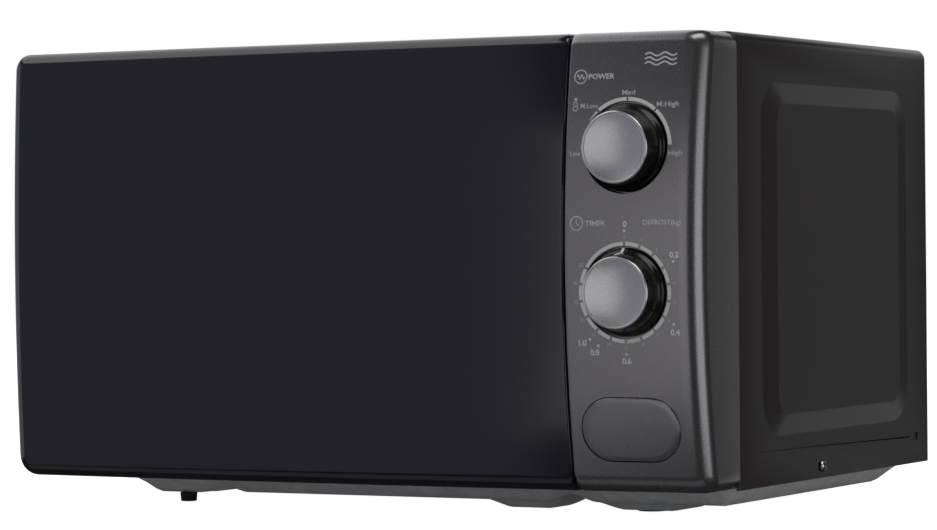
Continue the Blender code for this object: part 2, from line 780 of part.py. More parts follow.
def knob_seat(centre):
    """Depth of the flat round seat that each knob turns in."""
    x, z = centre
    return min(face_depth(x, z - 23), face_depth(x, z + 23)) - 2.0


def knobs():
    for name, centre, front in (("power", POWER, KNOB_FRONT - 1.6), ("timer", TIMER, KNOB_FRONT)):
        back = knob_seat(centre) + GAP + 0.2
        origin = (centre[0], FRONT - back, centre[1])
        shape = [
            (0, -front + 2.0),
            (9.0, -front + 1.6),
            (17.2, -front + 0.3),
            (18.7, -front),
            (19.4, -front + 0.5),
            (23.0, -back - 2.0),
            (23.4, -back),
            (3.3, -back),
            (3.3, -front + 6),
            (0, -front + 6),
        ]
        profile = [(radius, FRONT + along) for radius, along in shape]
        lathe(f"{name}_knob", profile, "Y", centre, knob_plastic(), 32, origin)
        rod(f"{name}_shaft", "Y", centre, 3.0, FRONT - front + 6.5, FRONT - 38.5, zinc_steel(), 12, origin)


def control_panel():
    panel = face_shell("control_panel", SEAM_X + 0.4, HALF, (1.5, 6, 6, 1.5), 6.0, FRONT, satin_grey(), 5)
    cuts = [prism("button_opening", button_outline(0.4), "Y", FRONT - 70, FRONT - 15, satin_grey())]
    for name, centre in (("power", POWER), ("timer", TIMER)):
        seat = FRONT - knob_seat(centre)
        recess = rod(f"{name}_recess", "Y", centre, 24.2, seat - 30, seat, satin_grey(), 32)
        cup = tube(f"{name}_cup", "Y", centre, 6.0, 26.0, seat + 0.01, seat + 4.0, satin_grey(), 32)
        combine(panel, "UNION", cup)
        cuts.append(recess)
        cuts.append(rod(f"{name}_shaft_hole", "Y", centre, 6.0, seat - 40, seat + 10, satin_grey(), 24))
    return combine(panel, "DIFFERENCE", *cuts)


# Door


def door_frame():
    """The bowed outer moulding. Its hinge side is a round bead on the hinge axis, to clear the cabinet."""
    origin = (HINGE_X, HINGE_Y, 0)
    look = gloss_black()
    hinge = (HINGE_X, HINGE_Y)
    left, right = -HALF + 0.3, SEAM_X - 0.3
    frame = face_shell("door_frame", left, right, (5, 1.2, 1.2, 5), 4.0, FRONT - 0.8, look, 6, origin)
    notch = box("hinge_side_notch", (-222, HINGE_Y, 10), (HINGE_X, FRONT + 5, 265), look)
    combine(frame, "DIFFERENCE", notch)
    bead = rod("hinge_bead", "Z", hinge, 5.1, FACE_BOTTOM + 0.6, FACE_TOP - 0.6, look, 24)
    combine(frame, "UNION", bead)
    cuts = [
        prism("window_opening", rounded(*WINDOW, (8, 8, 8, 8), 3), "Y", FRONT - 80, FRONT - 10, look),
        rod("upper_pin_hole", "Z", hinge, 2.7, 244, 254.5, look, 16),
        rod("lower_pin_hole", "Z", hinge, 2.7, 19.5, 30, look, 16),
    ]
    for name, low, high in (("upper", 245.2, 248.3), ("lower", 25.7, 28.8)):
        cuts.append(box(f"{name}_ear_slot", (-222, HINGE_Y - 4.4, low), (-209, FRONT + 5, high), look))
    return combine(frame, "DIFFERENCE", *cuts)


def door_window():
    x0, x1, z0, z1 = WINDOW
    outline = rounded(x0 + GAP, x1 - GAP, z0 + GAP, z1 - GAP, (7.7, 7.7, 7.7, 7.7), 3)
    centre = (CAVITY_X, MIDDLE)
    return face_patch("door_window", outline, centre, 0.0, 2.5, dark_glass(), 4, (HINGE_X, HINGE_Y, 0))


def door_inner_parts():
    origin = (HINGE_X, HINGE_Y, 0)
    pan = box("door_inner_panel", (-208.6, FRONT - 20, 31), (125, FRONT - 5.6, 243), grey_steel(), origin)
    hollow = box("inner_panel_hollow", (-207.6, FRONT - 25, 32), (124, FRONT - 6.6, 242), grey_steel())
    combine(pan, "DIFFERENCE", hollow)
    outline = rounded(-209.0, 139.3, 30, 244, (3, 3, 3, 3), 2)
    opening = rounded(-186, 106, 50, 225, (4, 4, 4, 4), 2)
    slots = [rectangle(127.5, 139.0, 74, 93), rectangle(127.5, 139.0, 197, 217)]
    holes = [opening] + slots
    prism("choke_cover", outline, "Y", FRONT - 5.2, FRONT - 0.8, dark_plastic(), holes, origin)
    film = rounded(-185.6, 105.6, 50.4, 224.6, (3.6, 3.6, 3.6, 3.6), 2)
    prism("door_inner_window", film, "Y", FRONT - 4.8, FRONT - 3.8, clear_glass(), (), origin)


def door_latch():
    origin = (131, FRONT - 11, 142)
    look = inner_plastic()
    bar = box("door_latch", (129, FRONT - 14, 77), (133, FRONT - 8, 210), look, origin)
    hooks = []
    for name, low in (("lower", 75.5), ("upper", 198.5)):
        bar_low = (129.2, FRONT - 13, low + 2.5)
        bar_high = (132.8, FRONT + 20, low + 10.3)
        hooks.append(box(f"{name}_hook_bar", bar_low, bar_high, look))
        lip_low = (129, FRONT + 19, low)
        lip_high = (137, FRONT + 24, low + 10.5)
        hooks.append(box(f"{name}_hook_lip", lip_low, lip_high, look))
    return combine(bar, "UNION", *hooks)


def latch_spring():
    return coil("latch_spring", (131, FRONT - 11, 211.2), (131, FRONT - 11, 240), 3.2, 0.4, 6, spring_steel())


def hinges():
    look = zinc_steel()
    near = FRONT + GAP + SHEET + GAP
    for name, ear, pin, leaf in (
        ("hinge_upper", (246.0, 247.5), (247, 253.8), (226, 247.5)),
        ("hinge_lower", (26.5, 28.0), (20.2, 27), (26.5, 48)),
    ):
        plate = box(name, (-217.8, near, leaf[0]), (-200, near + 1.5, leaf[1]), look)
        arm = box(f"{name}_ear", (HINGE_X - 3, HINGE_Y, ear[0]), (HINGE_X + 3, near + 1, ear[1]), look)
        tip = rod(f"{name}_eye", "Z", (HINGE_X, HINGE_Y), 3.0, *ear, look, 16)
        peg = rod(f"{name}_pin", "Z", (HINGE_X, HINGE_Y), 2.4, *pin, look, 16)
        combine(plate, "UNION", arm, tip, peg)


def main():
    clear_scene()
    outer_cabinet()
    side_screws()
    base_plate()
    feet()
    rear_panel()
    cord_gland()
    front_frame()
    cavity()
    waveguide()
    magnetron()
    transformer()
    high_voltage_capacitor()
    fan()
    noise_filter_board()
    oven_lamp()
    turntable()
    interlock()
    release_lever()
    release_button()
    release_spring()
    timer_unit()
    knobs()
    control_panel()
    door_frame()
    door_window()
    door_inner_parts()
    door_latch()
    latch_spring()
    hinges()


main()
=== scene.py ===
import math

import bmesh
import bpy
from mathutils import Matrix, Vector
from mathutils.geometry import tessellate_polygon


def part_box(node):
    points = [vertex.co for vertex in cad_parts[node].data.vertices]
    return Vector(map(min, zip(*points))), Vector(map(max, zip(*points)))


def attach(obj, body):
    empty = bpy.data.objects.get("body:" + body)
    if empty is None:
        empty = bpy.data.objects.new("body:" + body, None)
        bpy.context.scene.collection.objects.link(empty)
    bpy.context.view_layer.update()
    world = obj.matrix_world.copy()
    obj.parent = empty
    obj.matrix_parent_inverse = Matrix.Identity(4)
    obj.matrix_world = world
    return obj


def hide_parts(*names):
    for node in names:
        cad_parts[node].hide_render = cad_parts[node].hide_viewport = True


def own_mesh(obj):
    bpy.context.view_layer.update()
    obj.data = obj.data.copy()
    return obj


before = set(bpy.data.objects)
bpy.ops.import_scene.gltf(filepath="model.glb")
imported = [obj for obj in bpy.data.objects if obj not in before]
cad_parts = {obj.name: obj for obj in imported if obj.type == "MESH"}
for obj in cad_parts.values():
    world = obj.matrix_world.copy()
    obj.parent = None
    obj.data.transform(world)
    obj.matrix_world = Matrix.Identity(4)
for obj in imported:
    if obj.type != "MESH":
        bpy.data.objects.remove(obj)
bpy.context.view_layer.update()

MM = 0.001

# Places, in millimetres, read from the frame


def span(node, axis):
    """Lowest and highest coordinate of a CAD node along an axis."""
    low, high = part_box(node)
    return low["XYZ".index(axis)] / MM, high["XYZ".index(axis)] / MM


def middle(node, axis):
    return sum(span(node, axis)) / 2


# The finished shells stand this far past the CAD nodes that they replace
PAST_REAR, PAST_TOP = 0.8, 0.5
PAST_FACE_BOTTOM, PAST_FACE_TOP = 0.6, 0.2
PAST_DOOR_LEFT = 1.3

FRONT, REAR = span("outer_cabinet", "Y")[0], span("outer_cabinet", "Y")[1] + PAST_REAR
BOTTOM, TOP = span("outer_cabinet", "Z")[0], span("outer_cabinet", "Z")[1] + PAST_TOP
PANEL_LEFT, HALF = span("control_panel", "X")
FACE_BOTTOM = span("control_panel", "Z")[0] - PAST_FACE_BOTTOM
FACE_TOP = span("control_panel", "Z")[1] + PAST_FACE_TOP
FACE_MIDDLE, FACE_REACH = 137.0, 121.2
DOOR_LEFT, DOOR_RIGHT = span("door_frame", "X")[0] - PAST_DOOR_LEFT, span("door_frame", "X")[1]
TIMER = (middle("timer_knob", "X"), middle("timer_knob", "Z"))
POWER = (middle("power_knob", "X"), middle("power_knob", "Z"))
BUTTON = (middle("release_button", "X"), middle("release_button", "Z"))
SCREW_Y, SCREW_Z = middle("side_screw_right", "Y"), middle("side_screw_right", "Z")
TRAY_X, TRAY_Y = middle("glass_tray", "X"), middle("glass_tray", "Y")
HINGE_X, HINGE_Y = middle("hinge_upper", "X"), FRONT - 7.3
WINDOW = (*span("door_window", "X"), *span("door_window", "Z"))
SHEET = 1.0  # thickness of the steel
WALL = 2.0  # thickness of the mouldings


# Materials


class Look:
    """Builds one node material around a Principled shader."""

    def __init__(self, name, color, roughness, **sockets):
        self.material = bpy.data.materials.new(name)
        self.material.use_nodes = True
        self.tree = self.material.node_tree
        self.shader = self.tree.nodes["Principled BSDF"]
        self.color = (*color, 1.0)
        self.roughness = roughness
        self.set("Base Color", self.color)
        self.set("Roughness", roughness)
        for socket, value in sockets.items():
            self.set(socket.replace("_", " "), value)
        self.where = self.node("ShaderNodeTexCoord").outputs["Object"]

    def set(self, socket, value):
        self.shader.inputs[socket].default_value = value

    def node(self, kind, **inputs):
        made = self.tree.nodes.new(kind)
        for key, value in inputs.items():
            socket = made.inputs[key.replace("_", " ")]
            if isinstance(value, bpy.types.NodeSocket):
                self.tree.links.new(value, socket)
            else:
                socket.default_value = value
        return made

    def noise(self, size, detail=2.0, stretch=(1, 1, 1)):
        """A noise whose grains are about this many millimetres."""
        scaled = self.node("ShaderNodeMapping", Vector=self.where, Scale=stretch)
        made = self.node("ShaderNodeTexNoise", Vector=scaled.outputs[0], Scale=1000.0 / size, Detail=detail)
        return made.outputs["Fac"]

    def ramp(self, value, low, high, start=0.35, end=0.65):
        made = self.node("ShaderNodeMapRange", Value=value)
        made.inputs["From Min"].default_value = start
        made.inputs["From Max"].default_value = end
        made.inputs["To Min"].default_value = low
        made.inputs["To Max"].default_value = high
        return made.outputs[0]

    def mix_color(self, factor, low, high):
        made = self.tree.nodes.new("ShaderNodeMix")
        made.data_type = "RGBA"
        self.tree.links.new(factor, made.inputs[0])
        made.inputs[6].default_value = (*low, 1.0)
        made.inputs[7].default_value = (*high, 1.0)
        return made.outputs[2]

    def vary(self, size, tone=0.12, gloss=0.12, detail=3.0, stretch=(1, 1, 1)):
        """Uneven colour and roughness, by these shares of their own values."""
        pattern = self.noise(size, detail, stretch)
        low = [c * (1 - tone) for c in self.color[:3]]
        high = [min(1.0, c * (1 + tone)) for c in self.color[:3]]
        mixed = self.mix_color(self.ramp(pattern, 0.0, 1.0), low, high)
        self.tree.links.new(mixed, self.shader.inputs["Base Color"])
        rough = self.ramp(pattern, self.roughness * (1 - gloss), self.roughness * (1 + gloss))
        self.tree.links.new(rough, self.shader.inputs["Roughness"])
        return self

    def bump(self, size, height, detail=2.0, stretch=(1, 1, 1), pattern=None):
        """A raised grain: its size and its height, in millimetres."""
        height_map = pattern or self.noise(size, detail, stretch)
        made = self.node("ShaderNodeBump", Height=height_map, Distance=height * MM, Strength=1.0)
        earlier = self.shader.inputs["Normal"].links
        if earlier:
            self.tree.links.new(earlier[0].from_socket, made.inputs["Normal"])
        self.tree.links.new(made.outputs[0], self.shader.inputs["Normal"])
        return self


def make_looks():
    """Every material, by the name that the pieces use."""
    looks = {
        "cabinet": Look("cabinet_powder_coat", (0.032, 0.0262, 0.0268), 0.29).vary(1.2, 0.1, 0.05).bump(0.9, 0.004),
        "door": Look("door_gloss_black", (0.0095, 0.0095, 0.0165), 0.12, Specular_IOR_Level=1.0).vary(2, 0.06, 0.05),
        "window": Look(
            "door_window_tint", (0.0105, 0.0105, 0.0175), 0.12, Specular_IOR_Level=1.0, Alpha=0.94
        ).vary(2, 0.06, 0.05),
        "panel": Look("panel_satin_lacquer", (0.3, 0.288, 0.3), 0.26, Metallic=0.9).vary(0.35, 0.04, 0.06),
        "knob_face": Look("knob_satin_lacquer", (0.78, 0.76, 0.78), 0.28, Metallic=0.9).vary(0.35, 0.04, 0.06),
        "knob_skirt": Look("knob_gloss_black", (0.006, 0.006, 0.0065), 0.22).vary(5, 0.1, 0.15),
        "print": Look("panel_print", (0.9, 0.9, 0.9), 0.5).vary(0.6, 0.06, 0.1),
        "print_soft": Look("panel_print_grey", (0.72, 0.72, 0.73), 0.5).vary(0.6, 0.06, 0.1),
        "galvanised": Look("galvanised_sheet", (0.7, 0.71, 0.72), 0.45, Metallic=0.35),
        "zinc": Look("zinc_plate", (0.62, 0.62, 0.63), 0.28, Metallic=1.0).vary(2.5, 0.08, 0.2),
        "screw": Look("screw_nickel", (0.75, 0.74, 0.72), 0.2, Metallic=1.0).vary(0.8, 0.08, 0.3),
        "enamel": Look("cavity_enamel_grey", (0.34, 0.35, 0.36), 0.38).vary(25, 0.04, 0.1),
        "rubber": Look("foot_rubber", (0.014, 0.014, 0.014), 0.75).vary(1.5, 0.15, 0.1).bump(0.6, 0.03),
        "white": Look("natural_plastic", (0.72, 0.7, 0.65), 0.42).vary(6, 0.04, 0.1).bump(0.8, 0.01),
        "black": Look("black_plastic", (0.018, 0.018, 0.018), 0.42).vary(3, 0.1, 0.12).bump(0.5, 0.015),
        "copper": Look("enamelled_winding", (0.55, 0.2, 0.075), 0.3, Metallic=0.9),
        "core": Look("laminated_core", (0.17, 0.17, 0.18), 0.45, Metallic=0.7),
        "board": Look("circuit_board", (0.02, 0.14, 0.06), 0.35).vary(2, 0.15, 0.1),
        "mica": Look("mica_sheet", (0.6, 0.54, 0.43), 0.45).vary(4, 0.18, 0.2, 6.0),
        "spring": Look("spring_wire", (0.6, 0.6, 0.61), 0.22, Metallic=1.0).vary(1.0, 0.1, 0.2),
        "glass": Look("tray_glass", (0.93, 0.97, 0.96), 0.02, Transmission_Weight=1.0, IOR=1.5),
        "film": Look("door_inner_film", (0.75, 0.77, 0.77), 0.12, Alpha=0.22).vary(30, 0.03, 0.1),
        "bulb": Look("bulb_glass", (0.9, 0.9, 0.86), 0.05, Transmission_Weight=0.9, IOR=1.45),
        "screen": Look("perforated_screen", (0.05, 0.05, 0.055), 0.4, Metallic=0.4).vary(3, 0.08, 0.1),
        "floor": Look("studio_floor", (0.6, 0.6, 0.6), 0.9).vary(400, 0.005, 0.02),
    }
    for flaked in ("panel", "knob_face"):
        looks[flaked].bump(0.25, 0.0012, 1.0)
    finish_galvanised(looks["galvanised"])
    looks["enamel"].bump(2.2, 0.01)
    looks["zinc"].bump(0.7, 0.004)
    looks["glass"].vary(20, 0.01, 0.3).bump(9, 0.01, 1.0)
    looks["bulb"].vary(6, 0.03, 0.3)
    wound(looks["copper"], 0.9)
    wound(looks["core"], 1.0)
    return {key: look.material for key, look in looks.items()}


def finish_galvanised(look):
    """Zinc spangle: flat crystals a few millimetres across, each with its own tone."""
    crystals = look.node("ShaderNodeTexVoronoi", Vector=look.where, Scale=1000.0 / 4.5, Randomness=1.0)
    tone = look.node("ShaderNodeSeparateColor", Color=crystals.outputs["Color"]).outputs[0]
    mixed = look.mix_color(tone, (0.8, 0.81, 0.82), (0.93, 0.94, 0.95))
    look.tree.links.new(mixed, look.shader.inputs["Base Color"])
    rough = look.ramp(tone, 0.34, 0.5, 0.0, 1.0)
    look.tree.links.new(rough, look.shader.inputs["Roughness"])
    look.bump(1.5, 0.006)


def wound(look, pitch):
    """Parallel turns of wire or stacked sheets, this far apart in millimetres."""
    waves = look.node("ShaderNodeTexWave", Vector=look.where, Scale=1000.0 / pitch / 6.28)
    waves.bands_direction = "Z"
    look.vary(3, 0.12, 0.15)
    look.bump(0, 0.12, pattern=waves.outputs["Fac"])


LOOKS = make_looks()


# Shapes


def shade(mesh, smooth):
    """Smooth shading, broken at edges sharper than this many degrees."""
    mesh.shade_smooth()
    mesh.set_sharp_from_angle(angle=math.radians(smooth))


def build(name, bm, look, smooth=35):
    """Turns a bmesh in millimetres into an object in metres."""
    bmesh.ops.recalc_face_normals(bm, faces=bm.faces)
    mesh = bpy.data.meshes.new(name)
    bm.to_mesh(mesh)
    bm.free()
    mesh.transform(Matrix.Scale(MM, 4))
    mesh.materials.append(LOOKS[look])
    shade(mesh, smooth)
    obj = bpy.data.objects.new(name, mesh)
    bpy.context.scene.collection.objects.link(obj)
    return obj


def place(obj, body, slot, *nodes):
    """The object rides on a body and stands for these CAD nodes, which are hidden. The slot is not used."""
    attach(obj, body)
    if nodes:
        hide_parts(*nodes)
    return obj


def apply_modifiers(obj, smooth=35):
    """Bakes the modifiers into the object's mesh."""
    graph = bpy.context.evaluated_depsgraph_get()
    mesh = bpy.data.meshes.new_from_object(obj.evaluated_get(graph))
    obj.modifiers.clear()
    obj.data = mesh
    shade(mesh, smooth)
    return obj


def combine(obj, operation, *others, smooth=35):
    """Cuts or joins the other objects, which are then removed."""
    for other in others:
        modifier = obj.modifiers.new(other.name, "BOOLEAN")
        modifier.operation = operation
        modifier.object = other
        modifier.solver = "EXACT"
    apply_modifiers(obj, smooth)
    for other in others:
        bpy.data.objects.remove(other)
    return obj


def bevel(obj, width):
    """Rounds the sharp edges, by a width in millimetres."""
    modifier = obj.modifiers.new("edges", "BEVEL")
    modifier.width = width * MM
    modifier.segments = 2
    modifier.limit_method = "ANGLE"
    modifier.angle_limit = math.radians(35)
    modifier.harden_normals = False
    return apply_modifiers(obj)


def arc(cx, cy, radius, start, end, steps):
    angles = [math.radians(start + (end - start) * i / steps) for i in range(steps + 1)]
    return [(cx + radius * math.cos(a), cy + radius * math.sin(a)) for a in angles]


def circle(cx, cy, radius, steps=32):
    return arc(cx, cy, radius, 0, 360, steps)[:-1]


def rounded(x0, x1, y0, y1, radius, steps=6):
    """A rectangle with round corners, anticlockwise."""
    return (
        arc(x0 + radius, y0 + radius, radius, 180, 270, steps)
        + arc(x1 - radius, y0 + radius, radius, 270, 360, steps)
        + arc(x1 - radius, y1 - radius, radius, 0, 90, steps)
        + arc(x0 + radius, y1 - radius, radius, 90, 180, steps)
    )


def stadium(cx, cy, width, height, steps=16):
    radius = height / 2
    reach = width / 2 - radius
    return arc(cx + reach, cy, radius, -90, 90, steps) + arc(cx - reach, cy, radius, 90, 270, steps)


def on_axis(axis, u, v, along):
    """A point of a section. Sections across X are (y, z), Y (x, z) and Z (x, y)."""
    return {"X": (along, u, v), "Y": (u, along, v), "Z": (u, v, along)}[axis]


def loft(bm, rings, closed=True, capped=False):
    """Faces between each ring of vertices and the next, and over the first and last."""
    for a, b in zip(rings, rings[1:]):
        for i in range(len(a) if closed else len(a) - 1):
            j = (i + 1) % len(a)
            bm.faces.new((a[i], a[j], b[j], b[i]))
    if capped:
        bm.faces.new(rings[0])
        bm.faces.new(rings[-1])


def prism(name, outline, axis, start, end, look, holes=(), smooth=35):
    """A section with holes, extruded along an axis."""
    loops = [outline, *holes]
    flat = [[Vector((u, v, 0.0)) for u, v in loop] for loop in loops]
    bm = bmesh.new()
    lows = [[bm.verts.new(on_axis(axis, p.x, p.y, start)) for p in loop] for loop in flat]
    highs = [[bm.verts.new(on_axis(axis, p.x, p.y, end)) for p in loop] for loop in flat]
    all_lows = [v for loop in lows for v in loop]
    all_highs = [v for loop in highs for v in loop]
    if holes:
        for a, b, c in tessellate_polygon(flat):
            bm.faces.new((all_lows[a], all_lows[b], all_lows[c]))
            bm.faces.new((all_highs[c], all_highs[b], all_highs[a]))
        bmesh.ops.dissolve_limit(bm, angle_limit=0.01, verts=bm.verts, edges=bm.edges, delimit={"NORMAL"})
        bm.verts.ensure_lookup_table()
    else:
        bm.faces.new(all_lows)
        bm.faces.new(all_highs)
    for pair in zip(lows, highs):
        loft(bm, pair)
    return build(name, bm, look, smooth)


def slab(name, node, radius, look, holes=()):
    """An upright plate with round corners, the size of a CAD node."""
    outline = rounded(*span(node, "X"), *span(node, "Z"), radius)
    return prism(name, outline, "Y", *span(node, "Y"), look, holes)


def box(name, low, high, look):
    outline = [(low[0], low[1]), (high[0], low[1]), (high[0], high[1]), (low[0], high[1])]
    return prism(name, outline, "Z", low[2], high[2], look)


def lathe(name, profile, axis, centre, look, segments=48, smooth=35):
    """Turns a profile of (radius, distance along the axis)."""
    bm = bmesh.new()
    rings = []
    for radius, along in profile:
        if radius == 0:
            rings.append([bm.verts.new(on_axis(axis, *centre, along))])
            continue
        ring = [on_axis(axis, u, v, along) for u, v in circle(*centre, radius, segments)]
        rings.append([bm.verts.new(p) for p in ring])
    closed = all(radius > 0 for radius, _ in profile)
    for a, b in zip(rings, rings[1:] + (rings[:1] if closed else [])):
        for i in range(segments):
            j = (i + 1) % segments
            corners = (a[i % len(a)], a[j % len(a)], b[j % len(b)], b[i % len(b)])
            bm.faces.new(list(dict.fromkeys(corners)))
    return build(name, bm, look, smooth)


def fillet_profile(points, radius, steps=4):
    """Rounds the inner corners of an open profile."""
    made = [points[0]]
    for before, corner, after in zip(points, points[1:], points[2:]):
        a, b, c = Vector(before), Vector(corner), Vector(after)
        reach = min(radius, (a - b).length * 0.45, (c - b).length * 0.45)
        start, end = b + (a - b).normalized() * reach, b + (c - b).normalized() * reach
        for i in range(steps + 1):
            t = i / steps
            made.append(tuple(start * (1 - t) ** 2 + b * 2 * t * (1 - t) + end * t * t))
    made.append(points[-1])
    return [(max(u, 0.0), v) for u, v in made]


def softened(node, look, body, slot, width=0.4):
    """A copy of a CAD node with its edges rounded, which replaces it."""
    bm = bmesh.new()
    bm.from_mesh(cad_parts[node].data)
    bmesh.ops.scale(bm, vec=(1 / MM,) * 3, verts=bm.verts)
    bmesh.ops.remove_doubles(bm, verts=bm.verts, dist=0.002)
    bmesh.ops.dissolve_limit(bm, angle_limit=math.radians(1.0), verts=bm.verts, edges=bm.edges)
    obj = build(f"{node}_body", bm, look)
    bevel(obj, width)
    return place(obj, body, slot, node)


# The bowed front, shared by the door, its window, the control panel and the button


def face_depth(x, z):
    """How far the front face stands ahead of the cabinet's front plane."""
    across = (x + HALF) / (2 * HALF)
    up = (z - FACE_MIDDLE) / FACE_REACH
    edge = 31.0 + 2.2 * max(0.0, 1 - across / 0.6) ** 2 + 6.0 * across + 28.8 * across * (1 - across)
    bow = 4.2 + 8.5 * max(across, 0.0) ** 1.5
    return edge + bow * (1 - up * up)


def face_slope(x, z):
    """How fast the face's depth grows, to the right and upwards."""
    step = 0.5
    right = (face_depth(x + step, z) - face_depth(x - step, z)) / (2 * step)
    up = (face_depth(x, z + step) - face_depth(x, z - step)) / (2 * step)
    return right, up


def outline_rows(x0, x1, z0, z1, radii, rows, corner_steps=6):
    """Rows of a round-cornered field as (z, left x, right x, left normal, right normal). Radii: left, right."""
    left, right = radii
    reach = max(left, right)
    marks = []
    for i in range(corner_steps + 1):
        angle = math.radians(90 * i / corner_steps)
        marks.append((math.cos(angle), 1 - math.sin(angle)))
    made = []
    for side, edge in ((-1, z0), (1, z1)):
        for cosine, drop in marks:
            z = edge - side * drop * reach
            sine = 1 - drop
            low = x0 + left * (1 - cosine)
            high = x1 - right * (1 - cosine)
            made.append((z, low, high, (-cosine, side * sine), (cosine, side * sine)))
    lows, highs = made[: corner_steps + 1][::-1], made[corner_steps + 1 :]
    between = []
    for i in range(1, rows):
        z = z0 + reach + (z1 - z0 - 2 * reach) * i / rows
        between.append((z, x0, x1, (-1, 0), (1, 0)))
    return lows + between + highs


def bowed_grid(bm, lines, columns, inset):
    """Vertices and faces of the bowed field over these rows, set back by the inset."""
    grid = []
    for z, low, high, _, _ in lines:
        xs = [low + (high - low) * i / columns for i in range(columns + 1)]
        grid.append([bm.verts.new((x, FRONT - face_depth(x, z) + inset, z)) for x in xs])
    loft(bm, grid, closed=False)
    return grid


def fillet_width(nx, nz, fillet, corner):
    """Width of the rounded edge in a direction, so that the moulding's outline has round corners of this radius."""
    at_left, at_right, at_bottom, at_top = fillet
    wide, tall = (at_left if nx < 0 else at_right), (at_bottom if nz < 0 else at_top)
    c, s = abs(nx), abs(nz)
    radius = min(corner, wide, tall)
    u, v = wide - radius, tall - radius
    if s * wide <= v * c:
        return wide / c
    if c * tall <= u * s:
        return tall / s
    along = u * c + v * s
    return along + math.sqrt(along * along - u * u - v * v + radius * radius)


def bowed_skin(bm, x0, x1, z0, z1, radii, fillet, corner, inset, rear, columns=40, rows=30, turns=9):
    """One skin of a moulding with a bowed front: a grid, rounded edges and straight sides. Returns its rear rim.

    The fillet holds the width of the rounded edge at the left, right, bottom and top.
    """
    at_left, at_right, at_bottom, at_top = fillet
    field = (x0 + at_left, x1 - at_right, z0 + at_bottom, z1 - at_top)
    lines = outline_rows(*field, radii, rows)
    grid = bowed_grid(bm, lines, columns, inset)
    rim = [(v, (0, -1)) for v in grid[0]]
    rim += [(row[-1], line[4]) for row, line in zip(grid[1:-1], lines[1:-1])]
    rim += [(v, (0, 1)) for v in reversed(grid[-1])]
    rim += [(row[0], line[3]) for row, line in reversed(list(zip(grid[1:-1], lines[1:-1])))]
    edges = []
    for vertex, (nx, nz) in rim:
        x, y, z = vertex.co
        width = fillet_width(nx, nz, fillet, corner)
        slope = face_slope(x, z)
        start = math.atan(max(0.0, -(slope[0] * nx + slope[1] * nz)))
        edges.append((x, y, z, nx, nz, width / (1 - math.sin(start)), start))
    ring = [vertex for vertex, _ in rim]
    for k in range(1, turns + 2):
        made = []
        for x, y, z, nx, nz, radius, start in edges:
            angle = start + (math.pi / 2 - start) * min(k, turns) / turns
            out = radius * (math.sin(angle) - math.sin(start))
            back = radius * (math.cos(start) - math.cos(angle))
            made.append(bm.verts.new((x + nx * out, rear if k > turns else y + back, z + nz * out)))
        loft(bm, (ring, made))
        ring = made
    return ring


def bowed_shell(name, x0, x1, z0, z1, radii, fillet, corner, wall, rear, look, columns=40, rows=30):
    """A hollow moulding with a bowed front, open at the rear."""
    bm = bmesh.new()
    outer = bowed_skin(bm, x0, x1, z0, z1, radii, fillet, corner, 0.0, rear, columns, rows)
    thin = [max(width - wall, 0.6) for width in fillet]
    edges = (x0 + wall, x1 - wall, z0 + wall, z1 - wall)
    inner = bowed_skin(bm, *edges, radii, thin, max(corner - wall, 0.5), wall, rear, columns, rows)
    loft(bm, (outer, inner))
    return build(name, bm, look)


def polish(obj, x0, x1, z0, z1, fillet=(0, 0, 0, 0), reach=0.05):
    """Gives the bowed field between these edges, less their fillets, the smooth normals of its formula."""
    mesh = obj.data
    left, right, low, high = (max(width - 0.1, 0) for width in fillet)
    x0, x1, z0, z1 = x0 + left, x1 - right, z0 + low, z1 - high
    normals = [Vector((0, 0, 0))] * len(mesh.loops)
    for polygon in mesh.polygons:
        points = [mesh.vertices[i].co / MM for i in polygon.vertices]
        inside = all(x0 <= p.x <= x1 and z0 <= p.z <= z1 for p in points)
        if not inside or not all(abs(p.y - FRONT + face_depth(p.x, p.z)) < reach for p in points):
            continue
        for loop in polygon.loop_indices:
            p = mesh.vertices[mesh.loops[loop].vertex_index].co / MM
            right, up = face_slope(p.x, p.z)
            normals[loop] = Vector((-right, -1, -up)).normalized()
    mesh.normals_split_custom_set(normals)
    return obj


# Cabinet

EMBOSS = (FRONT + 30.0, FRONT + 239.5, BOTTOM + 26.0, BOTTOM + 217.5)
EMBOSS_SLOPE = (18.0, 12.0)
EMBOSS_RISE = 2.0
BEND = 6.0


def emboss_rings():
    """Outlines of the raised field from its foot to its top, each with its rise."""
    y0, y1, z0, z1 = EMBOSS
    foot = rounded(y0, y1, z0, z1, 22.0, 10)
    run, climb = EMBOSS_SLOPE
    crest = rounded(y0 + run, y1 - run, z0 + climb, z1 - climb, 12.0, 10)
    rings = []
    for t, rise in ((0, 0), (0.03, 0.008), (0.07, 0.05), (0.93, 0.95), (0.97, 0.992), (1, 1)):
        ring = [(a[0] + (b[0] - a[0]) * t, a[1] + (b[1] - a[1]) * t) for a, b in zip(foot, crest)]
        rings.append((ring, rise * EMBOSS_RISE))
    return rings


def cabinet_side(bm, side, offset, corners):
    """The flat of one side with its raised field. Corners are the vertices round the flat, in order."""
    plane = side * (HALF - offset)
    rings = []
    for ring, rise in emboss_rings():
        rings.append([bm.verts.new((plane + side * rise, y, z)) for y, z in ring])
    flat = [[Vector((v.co.y, v.co.z, 0)) for v in loop] for loop in (corners, rings[0])]
    every = corners + rings[0]
    for a, b, c in tessellate_polygon(flat):
        bm.faces.new((every[a], every[b], every[c]))
    loft(bm, rings)
    bm.faces.new(rings[-1])


